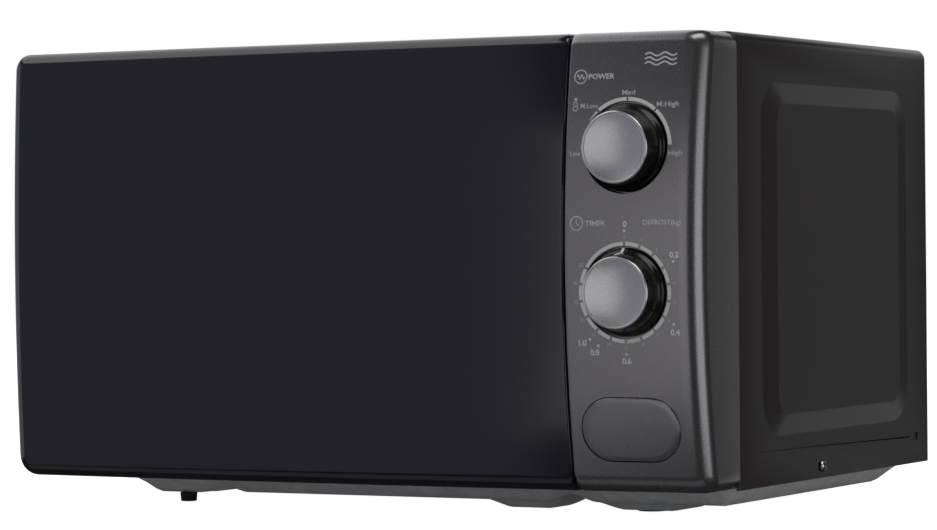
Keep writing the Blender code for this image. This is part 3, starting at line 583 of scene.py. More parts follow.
def cabinet_skin(bm, offset):
    """One skin of the wrapper: an inverted U with round bends and a rolled front and rear edge."""
    stations = []
    for edge, end, way in ((1.2, FRONT, 1), (0.5, REAR, -1)):
        turn = [math.radians(90 * i / 4) for i in range(5)]
        bent = [(edge * (1 - math.sin(a)), end + way * edge * (1 - math.cos(a))) for a in turn]
        stations += bent[::way]
    rows = []
    for pull, y in stations:
        inset = offset + pull
        half, top = HALF - inset, TOP - inset
        bend = max(BEND - inset, 1.0)
        right = [(half, BOTTOM)] + arc(half - bend, top - bend, bend, 0, 90, 8)
        left = [(-x, z) for x, z in right]
        rows.append([bm.verts.new((x, y, z)) for x, z in left + right[::-1]])
    turn = len(stations) // 2
    last = len(rows[0]) - 1
    for k, (a, b) in enumerate(zip(rows, rows[1:])):
        for i in range(last):
            if k == turn - 1 and i in (0, last - 1):
                continue
            bm.faces.new((a[i], a[i + 1], b[i + 1], b[i]))
    near, far = rows[turn - 1], rows[turn]
    cabinet_side(bm, -1, offset, [near[0], far[0], far[1], near[1]])
    cabinet_side(bm, 1, offset, [near[last], far[last], far[last - 1], near[last - 1]])
    return rows


def outer_cabinet():
    bm = bmesh.new()
    outer = cabinet_skin(bm, 0.0)
    inner = cabinet_skin(bm, SHEET)
    for row in (0, -1):
        loft(bm, (outer[row], inner[row]), closed=False)
    for column in (0, -1):
        loft(bm, [[row[column] for row in skin] for skin in (outer, inner)], closed=False)
    wrapper = build("cabinet_wrapper", bm, "cabinet", 20)
    cuts = []
    for side in (-1, 1):
        face = side * HALF
        cuts += [side_groove(side, face), side_notch(side, face), screw_hole(side, face)]
    combine(wrapper, "DIFFERENCE", *cuts, smooth=20)
    return place(wrapper, "root", "painted_steel", "outer_cabinet")


def side_groove(side, face):
    """A tapering score along the foot of each side, where the sheet is turned over the base."""
    start = (FRONT + 28.7, BOTTOM + 18.9)
    end = (FRONT + 253.0, BOTTOM + 15.4)
    bm = bmesh.new()
    ends = []
    for (y, z), half in ((start, 0.25), (end, 0.95)):
        points = [(face + side, y, z + half), (face + side, y, z - half), (face - side * 0.75, y, z)]
        ends.append([bm.verts.new(p) for p in points])
    loft(bm, ends, capped=True)
    return build(f"side_groove_{side}", bm, "cabinet")


def side_notch(side, face):
    y0, y1 = FRONT + 244.0, FRONT + 254.5
    z0, z1 = BOTTOM + 13.5, BOTTOM + 18.0
    low, high = sorted((face - side * 0.8, face + side))
    return prism(f"side_notch_{side}", rounded(y0, y1, z0, z1, 0.8, 3), "X", low, high, "cabinet")


def screw_hole(side, face):
    """The screw's hole is a slot, open ahead of the head."""
    low, high = sorted((face - side * 3, face + side))
    slot = stadium(SCREW_Y - 2.2, SCREW_Z, 9.4, 5.0, 8)
    return prism(f"screw_hole_{side}", slot, "X", low, high, "cabinet")


def screw(name, axis, centre, seat, side, head, look="screw"):
    """A pan-head screw with a cross recess. Side is +1 or -1 along the axis."""
    height = head * 0.55
    dome = [(0, height)] + [(head * math.sin(a), height * math.cos(a) ** 0.8) for a in (0.35, 0.7, 1.0, 1.3, 1.5)]
    profile = [(r, seat + side * h) for r, h in dome]
    shank, tip = head * 0.5, seat - side * head * 1.4
    profile += [(head, seat), (shank, seat), (shank, tip), (0, tip)]
    made = lathe(name, profile, axis, centre, look, 24)
    deep, top = sorted((seat + side * height * 0.35, seat + side * (height + 1)))
    cuts = []
    for i in range(2):
        wide, slim = (head * 0.55, head * 0.13) if i else (head * 0.13, head * 0.55)
        u, v = centre
        bar = [(u - wide, v - slim), (u + wide, v - slim), (u + wide, v + slim), (u - wide, v + slim)]
        cuts.append(prism(f"{name}_cut_{i}", bar, axis, deep, top, look))
    return combine(made, "DIFFERENCE", *cuts)


def side_screws():
    for node, side in (("side_screw_left", -1), ("side_screw_right", 1)):
        made = screw(f"{node}_head", "X", (SCREW_Y, SCREW_Z), side * HALF, side, 3.3)
        place(made, "root", "zinc_steel", node)


# Base

# Bosses that carry the feet: x, y behind the front, half width, width of the slope, extra depth
PRESSED_FEET = [
    (-141, 22, 12, 10, 0.9),
    (77, 48, 12, 12, 5.4),
    (151, 48, 15, 12, 4.8),
    (-137, 205, 12, 9, 2.0),
    (137, 205, 12, 9, 2.0),
]


def ramp(value, start, end):
    return min(1.0, max(0.0, (value - start) / (end - start)))


def eased(t, rounding=0.18):
    """A ramp whose two ends are rounded over this share of its length."""
    if t <= 0 or t >= 1:
        return min(1.0, max(0.0, t))
    if t < rounding:
        return t * t / (2 * rounding) / (1 - rounding)
    if t > 1 - rounding:
        return 1 - eased(1 - t, rounding)
    return (t - rounding / 2) / (1 - rounding)


def pan_drop(x, y):
    """How far the base plate is pressed down below the cabinet's lower edge."""
    across = min(eased(ramp(x, -170, -154)), eased(ramp(-x, -216, -203)))
    along = min(eased(ramp(y, FRONT + 3, FRONT + 18)), eased(ramp(-y, -FRONT - 237, -FRONT - 223)))
    inside = min(across, along)
    drop = 9.7 * inside
    drop -= 2.2 * inside * eased(max(0.0, 1 - abs(x + 107) / 10))
    drop -= 4.0 * inside * eased(max(0.0, 1 - abs(x - 111) / 16))
    for cx, cy, half, slope, more in PRESSED_FEET:
        near = max(abs(x - cx), abs(y - FRONT - cy))
        drop += more * inside * eased(1 - ramp(near, half, half + slope))
    return drop


def steps_between(marks, pitch):
    """The marks, with even steps no longer than the pitch between them."""
    made = [marks[0]]
    for a, b in zip(marks, marks[1:]):
        count = max(1, math.ceil((b - a) / pitch))
        made += [a + (b - a) * i / count for i in range(1, count + 1)]
    return made


def base_plate():
    (x0, x1), (y0, y1) = span("base_plate", "X"), span("base_plate", "Y")
    xs = steps_between([x0, -170, -154, -117, -107, -97, 46, 95, 111, 127, 203, 216, x1], 3.0)
    ys = steps_between([y0, FRONT + 3, FRONT + 18, FRONT + 73, FRONT + 223, FRONT + 237, y1], 3.0)
    bm = bmesh.new()
    skins = []
    for thickness in (0.0, SHEET):
        skin = [[bm.verts.new((x, y, BOTTOM - pan_drop(x, y) + thickness)) for x in xs] for y in ys]
        skins.append(skin)
        loft(bm, skin, closed=False)
    rims = [[[row[0] for row in skin], [row[-1] for row in skin], skin[0], skin[-1]] for skin in skins]
    for pair in zip(*rims):
        loft(bm, pair, closed=False)
    plate = build("base_pressing", bm, "galvanised", 50)
    return place(plate, "root", "galvanised_steel", "base_plate")


def feet():
    for node in ("foot_front_left", "foot_front_right", "foot_rear_left", "foot_rear_right"):
        centre = middle(node, "X"), middle(node, "Y")
        radius = (span(node, "X")[1] - span(node, "X")[0]) / 2
        top = span(node, "Z")[1]
        shape = [(0, 1.0), (radius * 0.4, 1.0), (radius * 0.4, 0), (radius * 0.9, 0), (radius, top), (0, top)]
        made = lathe(f"{node}_pad", fillet_profile(shape, 0.5), "Z", centre, "rubber", 32)
        place(made, "root", "rubber", node)


# Controls


def knob_profile(face):
    """The dished face and its rim, as (radius, y). Face is how far the rim stands ahead of the cabinet's front."""
    dish = [(r, FRONT - face + 2.1 - 1.8 * (r / 17.0) ** 2.2) for r in (0, 3, 6, 9, 12, 14.5, 16.2, 17.0)]
    rim = [(17.25, 0.75), (17.5, 0.75), (17.75, 0.15), (18.1, 0.0), (18.5, 0.05), (18.8, 0.3), (18.95, 0.7)]
    return dish + [(r, FRONT - face + back) for r, back in rim]


def knob(node, centre, body):
    """A dished satin face with a bright rim, on a dark flared skirt with a shoulder."""
    face = FRONT - span(node, "Y")[0]
    back = FRONT - span(node, "Y")[1]
    under = [(18.6, FRONT - face + 1.1), (16.0, FRONT - face + 1.6), (0, FRONT - face + 3.6)]
    cap = lathe(f"{body}_face", knob_profile(face) + under, "Y", centre, "knob_face", 96)
    place(cap, body, "knob_plastic", node)
    front_part = [(3.3, 4.2), (16.2, 1.9), (18.7, 1.3), (19.2, 1.5)]
    flare = [(20.6, 5.4), (21.1, 4.6), (22.4, 3.6), (22.9, 2.6), (23.3, 0.8), (23.2, 0)]
    flare += [(20.5, 0), (20.0, 1.6), (3.3, 1.6)]
    skirt = [(r, FRONT - face + y) for r, y in front_part] + [(r, FRONT - back - y) for r, y in flare]
    body_piece = lathe(f"{body}_skirt", fillet_profile(skirt, 0.5, 3)[:-1], "Y", centre, "knob_skirt", 96)
    place(body_piece, body, "knob_plastic")
    return face, back


def pointer(body, centre, face, back, angle):
    """The mark on the skirt that points at the scale. Angle is clockwise from the top."""
    turn = math.radians(90 - angle)
    bm = bmesh.new()
    along = [(19.6, FRONT - face + 1.6)]
    along += [(r, FRONT - back - y) for r, y in ((20.7, 5.6), (22.5, 3.8), (22.8, 3.0))]
    rows = []
    for radius, y in along:
        row = []
        for across in (-0.7, 0.7):
            for rise in (-0.15, 0.35):
                u, v = radius + rise, across
                x = centre[0] + u * math.cos(turn) - v * math.sin(turn)
                z = centre[1] + u * math.sin(turn) + v * math.cos(turn)
                row.append(bm.verts.new((x, y - rise * 0.6, z)))
        rows.append([row[0], row[1], row[3], row[2]])
    loft(bm, rows, capped=True)
    place(build(f"{body}_pointer", bm, "print"), body, "knob_plastic")


def knob_seat(centre):
    """Depth of the flat round seat that each knob turns in."""
    x, z = centre
    return min(face_depth(x, z - 23), face_depth(x, z + 23)) - 2.0


# Width of the rounded edges at the left, right, bottom and top
PANEL_FILLET = (1.6, 11.3, 9.0, 6.0)
DOOR_FILLET = (7.0, 1.6, 9.0, 6.0)


def control_panel():
    look = "panel"
    rear = FRONT - 0.1
    edges = (PANEL_LEFT, HALF, FACE_BOTTOM, FACE_TOP)
    panel = bowed_shell("panel_moulding", *edges, (0.6, 0.6), PANEL_FILLET, 6.0, WALL, rear, look, 26, 60)
    cuts = [prism("button_cut", stadium(*BUTTON, 57.2, 34.2), "Y", FRONT - 80, FRONT - 15, look)]
    for name, centre in (("power", POWER), ("timer", TIMER)):
        seat = FRONT - knob_seat(centre)
        recess = [(0, seat - 30), (24.2, seat - 30), (24.2, seat + 6), (0, seat + 6)]
        cuts.append(lathe(f"{name}_recess", recess, "Y", centre, look))
    combine(panel, "DIFFERENCE", *cuts)
    polish(panel, *edges, PANEL_FILLET)
    place(panel, "root", "satin_grey", "control_panel")
    for name, centre in (("power", POWER), ("timer", TIMER)):
        seat = FRONT - knob_seat(centre)
        profile = [(6.0, seat), (24.0, seat), (24.6, seat - 0.6), (24.6, seat + 2.0), (6.0, seat + 2.0)]
        place(lathe(f"{name}_knob_seat", profile, "Y", centre, look, 64), "root", "satin_grey")


def release_button():
    """A bowed stadium cap with a rounded edge, on a stem that reaches the release lever."""
    width, height = 56.4, 33.4
    bm = bmesh.new()
    skins = []
    for shrink, lift in ((0.0, -9.0), (0.0, -0.9), (0.12, -0.45), (0.45, -0.12), (0.9, 0.0)):
        ring = stadium(*BUTTON, width - 2 * shrink, height - 2 * shrink, 20)
        skins.append([bm.verts.new((x, FRONT - face_depth(x, z) - 0.3 - lift, z)) for x, z in ring])
    for step in range(1, 8):
        keep = 1 - step / 8
        ring = [((v.co.x - BUTTON[0]) * keep + BUTTON[0], (v.co.z - BUTTON[1]) * keep + BUTTON[1]) for v in skins[4]]
        skins.append([bm.verts.new((x, FRONT - face_depth(x, z) - 0.3, z)) for x, z in ring])
    loft(bm, skins, capped=True)
    place(build("button_cap", bm, "panel"), "release_button", "satin_grey", "release_button")
    low, high = (160, FRONT - 38, BUTTON[1] - 4), (168, FRONT + 3.5, BUTTON[1] + 4)
    place(bevel(box("button_stem", low, high, "black"), 0.6), "release_button", "satin_grey")


# Printed scales


PRINT_THICKNESS, PRINT_LIFT = 0.06, 0.02


def ink(name, bm, look):
    """Thin print on the panel, from shapes in the (x, z) plane that are moved on to the bowed face."""
    for vertex in bm.verts:
        x, y, z = vertex.co
        vertex.co.y = FRONT - face_depth(x, z) - PRINT_LIFT + y
    place(build(name, bm, look, 60), "root", "satin_grey")


def add_strip(bm, lines):
    """A closed thin strip between two lines of (x, z) points."""
    sheets = []
    for y in (0.0, -PRINT_THICKNESS):
        sheets.append([[bm.verts.new((x, y, z)) for x, z in line] for line in lines])
    back, front = sheets
    for (a, b), flip in ((back, False), (front, True)):
        for i in range(len(a) - 1):
            face = (a[i], a[i + 1], b[i + 1], b[i])
            bm.faces.new(face[::-1] if flip else face)
    for pair in zip(back, front):
        loft(bm, pair, closed=False)
    for i in (0, -1):
        bm.faces.new((back[0][i], back[1][i], front[1][i], front[0][i]))


def add_arc(bm, centre, radius, width, start, end, taper=None):
    """A printed arc. Angles are clockwise from the top; taper gives the width's share at a place from 0 to 1."""
    steps = max(8, int(abs(end - start) / 3))
    inner, outer = [], []
    for i in range(steps + 1):
        t = i / steps
        half = width / 2 * (taper(t) if taper else 1.0)
        for line, r in ((inner, radius - half), (outer, radius + half)):
            line.append(around(centre, r, start + (end - start) * t))
    add_strip(bm, (inner, outer))


def add_dot(bm, x, z, radius, steps=14):
    rings = [[bm.verts.new((px, y, pz)) for px, pz in circle(x, z, radius, steps)] for y in (0.0, -PRINT_THICKNESS)]
    loft(bm, rings, capped=True)


def add_line(bm, points, width):
    """A printed line of even width through (x, z) points."""
    left, right = [], []
    for i, (x, z) in enumerate(points):
        before, after = Vector(points[max(i - 1, 0)]), Vector(points[min(i + 1, len(points) - 1)])
        along = (after - before).normalized()
        side = Vector((-along.y, along.x)) * width / 2
        left.append((x + side.x, z + side.y))
        right.append((x - side.x, z - side.y))
    add_strip(bm, (left, right))


def add_words(bm, text, x, z, height, width=None, bold=0.0):
    """Lettering centred on a point, with capitals of this height and, if given, this overall width."""
    curve = bpy.data.curves.new("words", "FONT")
    curve.body = text
    curve.size = 1.0
    curve.align_x = curve.align_y = "CENTER"
    curve.offset = bold
    curve.extrude = 0.001
    curve.resolution_u = 3
    obj = bpy.data.objects.new("words", curve)
    bpy.context.scene.collection.objects.link(obj)
    graph = bpy.context.evaluated_depsgraph_get()
    mesh = bpy.data.meshes.new_from_object(obj.evaluated_get(graph))
    bpy.data.objects.remove(obj)
    xs = [v.co.x for v in mesh.vertices]
    zs = [v.co.y for v in mesh.vertices]
    scale_z = height / 0.73
    scale_x = width / (max(xs) - min(xs)) if width else scale_z
    mid_x, mid_z = (max(xs) + min(xs)) / 2, (max(zs) + min(zs)) / 2
    mesh.transform(Matrix.Translation((-mid_x, -mid_z, 0)))
    for vertex in mesh.vertices:
        u, v, w = vertex.co
        vertex.co = (x + u * scale_x, -PRINT_THICKNESS if w > 0 else 0.0, z + v * scale_z)
    bm.from_mesh(mesh)
    bpy.data.meshes.remove(mesh)


def around(centre, radius, angle):
    """A point round a centre. The angle is clockwise from the top."""
    turn = math.radians(90 - angle)
    return centre[0] + radius * math.cos(turn), centre[1] + radius * math.sin(turn)


SCALE_RADIUS = 25.5


def power_scale():
    bm = bmesh.new()
    add_arc(bm, POWER, SCALE_RADIUS, 1.1, -56, -41.2, lambda t: 0.3 + 0.7 * t)
    for start, end in ((-38.6, -0.4), (1.6, 39.3), (41.5, 87.5)):
        add_arc(bm, POWER, SCALE_RADIUS, 1.95, start, end)
    ink("power_scale", bm, "print")
    bm = bmesh.new()
    for text, dx, dz, width in (
        ("Low", -28.6, -2.7, 5.8),
        ("M.Low", -21.6, 22.3, 10.0),
        ("Med", 0.8, 28.9, 7.4),
        ("M.High", 23.4, 21.9, 12.4),
        ("High", 28.6, -3.6, 8.0),
    ):
        add_words(bm, text, POWER[0] + dx, POWER[1] + dz, 2.7, width, 0.005)
    ink("power_words", bm, "print_soft")


def timer_scale():
    bm = bmesh.new()
    minutes = [*range(11), 15, 20, 25, 30, 35]
    for i in range(len(minutes)):
        start = 20 * i + 1.6
        add_arc(bm, TIMER, SCALE_RADIUS, 1.9, start, 20 * (i + 1) - 1.6 if i < 15 else 358.4)
    ink("timer_scale", bm, "print")
    bm = bmesh.new()
    for i, minute in enumerate(minutes):
        x, z = around(TIMER, 28.9, 20 * i)
        add_words(bm, str(minute), x, z, 1.9)
    ink("timer_numbers", bm, "print_soft")
    bm = bmesh.new()
    for text, angle, dx, dz in (
        ("0", 0, 0.2, 3.5),
        ("0.2", 60, 0.5, 3.5),
        ("0.4", 121, 0.6, -4.1),
        ("0.6", 180, 0.0, -3.6),
        ("0.8", 210, -2.2, -3.5),
        ("1.0", 220.5, -4.3, -1.9),
    ):
        x, z = around(TIMER, 32.2, angle)
        add_dot(bm, x, z, 0.75)
        add_words(bm, text, x + dx, z + dz, 3.1, bold=0.025)
    ink("defrost_weights", bm, "print")


def panel_words():
    bm = bmesh.new()
    high = BOTTOM + 219.0
    add_words(bm, "POWER", 162.2, high, 2.9, 14.8, 0.02)
    add_words(bm, "TIMER", 161.0, BOTTOM + 142.0, 2.8, 11.9, 0.02)
    add_words(bm, "DEFROST(kg)", 199.3, BOTTOM + 141.8, 2.6, 21.4, 0.01)
    icon = (150.2, high)
    add_arc(bm, icon, 3.5, 0.55, 0, 360)
    wave = [(icon[0] - 2.2 + 4.4 * i / 16, icon[1] + 1.2 * math.sin(i / 16 * 4 * math.pi)) for i in range(17)]
    add_line(bm, wave, 0.5)
    clock = (150.1, BOTTOM + 142.0)
    add_arc(bm, clock, 3.6, 0.55, 0, 360)
    add_line(bm, [(clock[0] + u, clock[1] + v) for u, v in ((0, 2.4), (0, -0.2), (1.7, -1.2))], 0.5)
    flake = (POWER[0] - 29.6, POWER[1] + 23.0)
    add_arc(bm, (flake[0], flake[1] - 1.9), 1.3, 0.45, 0, 360)
    add_arc(bm, (flake[0], flake[1] + 0.4), 1.0, 0.45, -130, 130)
    star = (flake[0], flake[1] + 2.9)
    for i in range(3):
        add_line(bm, [around(star, reach, 90 - 60 * i) for reach in (-1.3, 1.3)], 0.35)
    ink("panel_words", bm, "print_soft")


def generic_mark():
    """Three waves, the common sign for microwaves, where an oven carries its badge."""
    bm = bmesh.new()
    for k in range(3):
        z = BOTTOM + 227.4 - 2.4 * (k - 1)
        wave = [(186.5 + 18.0 * i / 36, z + 0.85 * math.sin(i / 36 * 4 * math.pi)) for i in range(37)]
        add_line(bm, wave, 0.8)
    ink("microwave_sign", bm, "print_soft")


# Door


def door():
    """The moulding. Its left side tapers towards the rear, which leaves the cabinet room when the door opens."""
    look = "door"
    edges = (DOOR_LEFT, DOOR_RIGHT, FACE_BOTTOM, FACE_TOP)
    moulding = bowed_shell("door_moulding", *edges, (3.0, 0.6), DOOR_FILLET, 7.0, WALL, FRONT - 0.8, look, 60, 50)
    relief = (FRONT - 25, FRONT - 14.5)
    bm = bmesh.new()
    bm.from_mesh(moulding.data)
    every = bm.verts[:] + bm.edges[:] + bm.faces[:]
    bmesh.ops.bisect_plane(bm, geom=every, plane_co=(0, relief[1] * MM, 0), plane_no=(0, 1, 0))
    for vertex in bm.verts:
        if vertex.co.x / MM < DOOR_LEFT + WALL + 1:
            vertex.co.x += PAST_DOOR_LEFT * MM * ramp(vertex.co.y / MM, *relief)
    bm.to_mesh(moulding.data)
    bm.free()
    combine(moulding, "DIFFERENCE", box("hinge_notch", (-222, HINGE_Y, 10), (HINGE_X, FRONT + 5, 265), look))
    lower = [(r, FACE_BOTTOM + z) for r, z in ((0, 5), (3.6, 5), (5.1, 7))]
    upper = [(r, FACE_TOP - z) for r, z in ((5.1, 7), (3.6, 5), (0, 5))]
    combine(moulding, "UNION", lathe("hinge_bead", lower + upper, "Z", (HINGE_X, HINGE_Y), look, 32))
    cuts = [prism("window_cut", rounded(*WINDOW, 8), "Y", FRONT - 80, FRONT - 10, look)]
    for name, low, high in (("upper", 245.2, 248.3), ("lower", 25.7, 28.8)):
        cuts.append(box(f"{name}_ear_slot", (-222, HINGE_Y - 4.4, low), (-209, FRONT + 5, high), look))
    combine(moulding, "DIFFERENCE", *cuts)
    polish(moulding, *edges, DOOR_FILLET)
    place(moulding, "door", "gloss_black", "door_frame")


def door_window():
    x0, x1, z0, z1 = WINDOW
    gap, radius = 0.05, 8.0
    lines = outline_rows(x0 + gap, x1 - gap, z0 + gap, z1 - gap, (radius - gap, radius - gap), 18)
    bm = bmesh.new()
    rims = []
    for inset in (0.0, 2.4):
        grid = bowed_grid(bm, lines, 36, inset)
        sides = [row[-1] for row in grid[1:-1]], [row[0] for row in grid[-2:0:-1]]
        rims.append(grid[0] + sides[0] + grid[-1][::-1] + sides[1])
    loft(bm, rims)
    pane = build("window_pane", bm, "window")
    polish(pane, x0, x1, z0, z1)
    place(pane, "door", "dark_glass", "door_window")


def perforated(bm, x0, x1, z0, z1, y, pitch, radius):
    """A flat field of round holes in square cells."""
    columns, rows = round((x1 - x0) / pitch), round((z1 - z0) / pitch)
    step_x, step_z = (x1 - x0) / columns, (z1 - z0) / rows
    grid = {}

    def corner(i, j):
        if (i, j) not in grid:
            grid[i, j] = bm.verts.new((x0 + step_x * i / 2, y, z0 + step_z * j / 2))
        return grid[i, j]

    around_cell = [(0, 0), (1, 0), (2, 0), (2, 1), (2, 2), (1, 2), (0, 2), (0, 1)]
    for column in range(columns):
        for row in range(rows):
            cx, cz = x0 + step_x * (column + 0.5), z0 + step_z * (row + 0.5)
            hole = []
            for k in range(8):
                angle = math.radians(225 + 45 * k)
                hole.append(bm.verts.new((cx + radius * math.cos(angle), y, cz + radius * math.sin(angle))))
            outer = [corner(2 * column + i, 2 * row + j) for i, j in around_cell]
            for k in range(8):
                m = (k + 1) % 8
                bm.faces.new((outer[k], outer[m], hole[m], hole[k]))


def door_inner_panel():
    """The steel tray of the door, with its see-through field of holes."""
    x0, x1 = span("door_inner_panel", "X")
    z0, z1 = span("door_inner_panel", "Z")
    y0, y1 = span("door_inner_panel", "Y")
    field = (-164.0, 84.0, 72.0, 202.0)
    corner = 4.0
    tray = slab("door_pan", "door_inner_panel", corner, "galvanised")
    inner = rounded(x0 + SHEET, x1 - SHEET, z0 + SHEET, z1 - SHEET, corner - SHEET)
    well = prism("pan_well", inner, "Y", y0 - 2, y1 - SHEET, "galvanised")
    opening = prism("pan_opening", rounded(*field, 0.5, 1), "Y", y1 - 3, y1 + 2, "galvanised")
    combine(tray, "DIFFERENCE", well, opening)
    place(tray, "door", "galvanised_steel", "door_inner_panel")
    bm = bmesh.new()
    perforated(bm, *field, y1 - 0.8, 3.1, 1.12)
    screen = build("door_screen", bm, "screen")
    solidify = screen.modifiers.new("sheet", "SOLIDIFY")
    solidify.thickness = 0.5 * MM
    apply_modifiers(screen)
    place(screen, "door", "galvanised_steel")


def choke_cover():
    """The plastic ring round the inside of the door, with its ribs, and the film that it holds."""
    x0 = span("choke_cover", "X")[0]
    z0, z1 = span("choke_cover", "Z")
    y1 = span("choke_cover", "Y")[1]
    opening = rounded(-186, 106, 50, 225, 4)
    slots = [rounded(127.5, 139.0, low, high, 0.6, 2) for low, high in ((74, 93), (197, 217))]
    ring = slab("choke_ring", "choke_cover", 3, "black", [opening, *slots])
    bevel(ring, 0.7)
    grooves = []
    for k in range(2):
        wide, slim = (
            rounded(x0 + pull, 124 - pull, z0 + pull, z1 - pull, radius)
            for pull, radius in ((4.5 + 4.0 * k, 4), (5.7 + 4.0 * k, 3))
        )
        grooves.append(prism(f"choke_groove_{k}", wide, "Y", y1 - 0.7, y1 + 1, "black", [slim]))
    combine(ring, "DIFFERENCE", *grooves)
    place(ring, "door", "dark_plastic", "choke_cover")
    film = slab("inner_film", "door_inner_window", 3.6, "film")
    place(film, "door", "clear_glass", "door_inner_window")


# Insides


# The nodes to soften, by body, slot and look
INSIDES = {
    "root": {
        "galvanised_steel": {"galvanised": "waveguide fan_shroud"},
        "zinc_steel": {
            "zinc": "magnetron_yoke magnetron_filter_box hv_capacitor turntable_motor timer_unit "
            "hinge_upper hinge_lower power_shaft timer_shaft"
        },
        "inner_plastic": {"white": "interlock_bracket oven_lamp_holder"},
        "dark_plastic": {"black": "cord_gland primary_interlock_switch monitor_switch secondary_interlock_switch"},
        "copper": {"copper": "transformer_primary_coil transformer_secondary_coil"},
        "laminations": {"core": "transformer_core fan_motor"},
    },
    "door_latch": {"inner_plastic": {"white": "door_latch"}},
    "release_lever": {"inner_plastic": {"white": "release_lever"}},
    "fan": {"dark_plastic": {"black": "fan_blade"}},
    "turntable": {"inner_plastic": {"white": "turntable_coupler"}},
}
# The CAD nodes that stay as they are, by look
KEPT = {
    "enamel": "cavity_floor cavity_ceiling cavity_left_wall cavity_right_wall cavity_back_wall",
    "cabinet": "front_frame",
    "zinc": "magnetron_fins",
    "board": "noise_filter_board",
    "bulb": "oven_lamp_bulb",
    "galvanised": "rear_panel",
    "mica": "mica_cover",
}


def insides():
    """Rounded edges on the mechanism, and better materials for the CAD nodes that stay."""
    for body, slots in INSIDES.items():
        for slot, looks in slots.items():
            for look, nodes in looks.items():
                for node in nodes.split():
                    softened(node, look, body, slot)
    for look, nodes in KEPT.items():
        for node in nodes.split():
            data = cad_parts[node].data
            data.materials.clear()
            data.materials.append(LOOKS[look])


def spring(node, body, start, end, radius, wire, turns):
    """A compression spring between two points along one axis, with a mesh of its own."""
    start, end = Vector(start), Vector(end)
    along = (end - start).normalized()
    side = along.orthogonal().normalized()
    other = along.cross(side)
    bm = bmesh.new()
    rings = []
    steps = turns * 20
    for i in range(steps + 1):
        share = i / steps
        angle = 2 * math.pi * turns * share
        out = side * math.cos(angle) + other * math.sin(angle)
        rise = eased(ramp(share, 0.6 / turns, 1 - 0.6 / turns), 0.1)
        centre = start.lerp(end, 0.02 + 0.96 * rise) + out * radius
        section = [(u * wire, v * wire) for u, v in circle(0, 0, 1, 8)]
        rings.append([bm.verts.new(centre + out * u + along * v) for u, v in section])
    loft(bm, rings, capped=True)
    made = place(build(f"{node}_coil", bm, "spring", 60), body, "spring_steel", node)
    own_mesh(made)


def springs():
    start, end = (164, FRONT - 30.6, BUTTON[1]), (164, FRONT - 0.9, BUTTON[1])
    spring("release_spring", "root", start, end, 7.2, 0.5, 7)
    start, end = (131, FRONT - 11, 211.8), (131, FRONT - 11, 239.8)
    spring("latch_spring", "door", start, end, 3.2, 0.4, 6)


def glass_tray():
    """A shallow dish with a rolled rim, two raised rings inside and a ring underneath that sits on the coupler."""
    radius = (span("glass_tray", "X")[1] - span("glass_tray", "X")[0]) / 2
    low, high = span("glass_tray", "Z")
    upper = [(r, low + z) for r, z in ((0, 5.0), (60, 5.0), (62, 5.6), (64, 5.0), (90, 5.0), (92, 5.6), (94, 5.0))]
    upper += [(radius - 26, low + 5.2), (radius - 10, high - 4.5), (radius - 2.5, high - 0.4), (radius - 0.9, high)]
    under = [(radius - 0.1, high - 0.8), (radius - 0.2, high - 2.6), (radius - 9, high - 8.0)]
    under += [(radius - 22, low + 1.2), (radius - 28, low + 0.4)]
    under += [(r, low + z) for r, z in ((20, 0.4), (18.5, 0), (12.5, 0), (11, 0.6), (0, 0.6))]
    tray = lathe("tray_dish", fillet_profile(upper + under, 2.0, 3), "Z", (TRAY_X, TRAY_Y), "glass", 96, 60)
    place(tray, "turntable", "clear_glass", "glass_tray")


def roller_ring():
    """The ring that carries the tray, and its three wheels."""
    softened("roller_ring", "black", "roller_ring", "dark_plastic")
    for i in range(3):
        softened(f"roller_{i + 1}", "white", f"roller_{i + 1}", "inner_plastic")


def rear_fastenings():
    """Screws along the rear edges of the wrapper and at the corners of the rear panel."""
    places = [(-205, 40), (-205, 235), (205, 120), (205, 235), (-70, 246), (70, 246)]
    for i, centre in enumerate(places):
        made = screw(f"rear_screw_{i + 1}", "Y", centre, span("rear_panel", "Y")[1], 1, 3.2, "zinc")
        place(made, "root", "zinc_steel")


# Scene


LIGHT_DISTANCE = 3.0


def softbox(name, azimuth, elevation, half_wide, half_high, radiance, color=(1, 1, 1)):
    """A distant soft light that fills these half angles. Azimuth 0 is in front of the oven and 90 to its right."""
    a, e = math.radians(azimuth), math.radians(elevation)
    away = Vector((math.sin(a) * math.cos(e), -math.cos(a) * math.cos(e), math.sin(e)))
    light = bpy.data.lights.new(name, "AREA")
    light.shape = "RECTANGLE"
    light.size, light.size_y = (2 * LIGHT_DISTANCE * math.tan(math.radians(half)) for half in (half_wide, half_high))
    light.energy = radiance * math.pi * light.size * light.size_y
    light.color = color
    obj = bpy.data.objects.new(name, light)
    obj.location = Vector((0, 0, 0.13)) + away * LIGHT_DISTANCE
    obj.rotation_mode = "QUATERNION"
    obj.rotation_quaternion = away.to_track_quat("Z", "Y")
    obj.visible_camera = False
    bpy.context.scene.collection.objects.link(obj)


CAMERA_PLACE = (1.0246, -1.8955, 0.1546)
CAMERA_ANGLES = (28.374, -0.532, -0.559)
CAMERA_LENS = 142.53


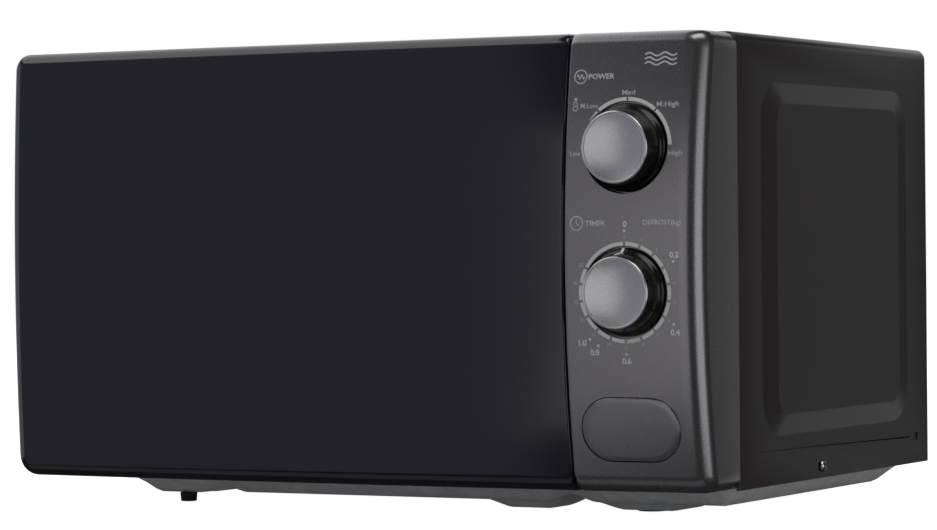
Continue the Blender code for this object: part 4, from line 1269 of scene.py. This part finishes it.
def camera():
    """A view of the front and the right side, level with the middle of the oven."""
    yaw, pitch, roll = (math.radians(a) for a in CAMERA_ANGLES)
    forward = Vector((-math.sin(yaw) * math.cos(pitch), math.cos(yaw) * math.cos(pitch), math.sin(pitch)))
    right = Vector((math.cos(yaw), math.sin(yaw), 0))
    up = right.cross(forward)
    across = right * math.cos(roll) + up * math.sin(roll)
    over = up * math.cos(roll) - right * math.sin(roll)
    turn = Matrix((across, over, -forward)).transposed()
    data = bpy.data.cameras.new("camera")
    data.sensor_width = 36.0
    data.lens = CAMERA_LENS
    obj = bpy.data.objects.new("camera", data)
    obj.matrix_world = Matrix.Translation(CAMERA_PLACE) @ turn.to_4x4()
    bpy.context.scene.collection.objects.link(obj)
    bpy.context.scene.camera = obj


def pale_to_camera(material):
    """The floor is lit as any other white floor, and looks overexposed to the camera, but for a faint shadow."""
    nodes, links = material.node_tree.nodes, material.node_tree.links
    glow = nodes.new("ShaderNodeEmission")
    path = nodes.new("ShaderNodeLightPath")
    both = nodes.new("ShaderNodeAddShader")
    links.new(path.outputs["Is Camera Ray"], glow.inputs["Strength"])
    links.new(nodes["Principled BSDF"].outputs[0], both.inputs[0])
    links.new(glow.outputs[0], both.inputs[1])
    links.new(both.outputs[0], nodes["Material Output"].inputs["Surface"])
    glow.inputs["Color"].default_value = (0.97, 0.97, 0.97, 1)


def light_world(scene):
    """White behind the oven, and almost no light from all round."""
    world = scene.world = bpy.data.worlds.new("studio")
    world.use_nodes = True
    nodes, links = world.node_tree.nodes, world.node_tree.links
    chooser = nodes.new("ShaderNodeMixShader")
    links.new(nodes.new("ShaderNodeLightPath").outputs["Is Camera Ray"], chooser.inputs[0])
    for socket, color, strength in ((1, (0.9, 0.92, 1.0, 1), 0.02), (2, (1, 1, 1, 1), 1.0)):
        sky = nodes.new("ShaderNodeBackground")
        sky.inputs["Color"].default_value = color
        sky.inputs["Strength"].default_value = strength
        links.new(sky.outputs[0], chooser.inputs[socket])
    links.new(chooser.outputs[0], nodes["World Output"].inputs["Surface"])


def studio():
    """A white floor and soft lights round the oven."""
    scene = bpy.context.scene
    scene.view_settings.view_transform = "Standard"
    bm = bmesh.new()
    bmesh.ops.create_grid(bm, x_segments=1, y_segments=1, size=6000)
    floor = build("studio_floor", bm, "floor")
    floor.location.z = -0.0005
    floor.visible_glossy = False
    floor.visible_shadow = False
    pale_to_camera(floor.data.materials[0])
    light_world(scene)
    softbox("front_left", -41, 1, 17.5, 32, 0.14, (0.93, 0.93, 1.15))
    softbox("front", 0.5, -2, 24.0, 16, 0.5)
    softbox("front_centre", 0.5, -2, 23.5, 16, 0.35)
    softbox("left", -63, 2, 6, 14, 0.6)
    softbox("far_left", -95, 5, 24, 20, 0.45, (0.8, 0.9, 1.0))
    softbox("front_right", 82, -1, 20, 15, 0.95)
    softbox("rear_right", 153, 0, 9, 6, 0.15)
    softbox("rear_right_upper", 160, 13, 9, 6, 0.42)
    softbox("rear_right_lower", 160, -13, 9, 6, 0.42)
    softbox("left_high", -98, 52, 50, 20, 1.05)
    softbox("rear_high", -165, 22, 20, 12, 0.7)
    softbox("high_right", 58, 60, 24, 15, 2.0)
    softbox("low", -5, -60, 45, 14, 0.12)


outer_cabinet()
side_screws()
base_plate()
feet()
control_panel()
for name, centre, angle in (("power", POWER, -90), ("timer", TIMER, 0)):
    reach = knob(f"{name}_knob", centre, f"{name}_control")
    pointer(f"{name}_control", centre, *reach, angle)
release_button()
power_scale()
timer_scale()
panel_words()
generic_mark()
door()
door_window()
door_inner_panel()
choke_cover()
insides()
springs()
glass_tray()
roller_ring()
rear_fastenings()
camera()
studio()
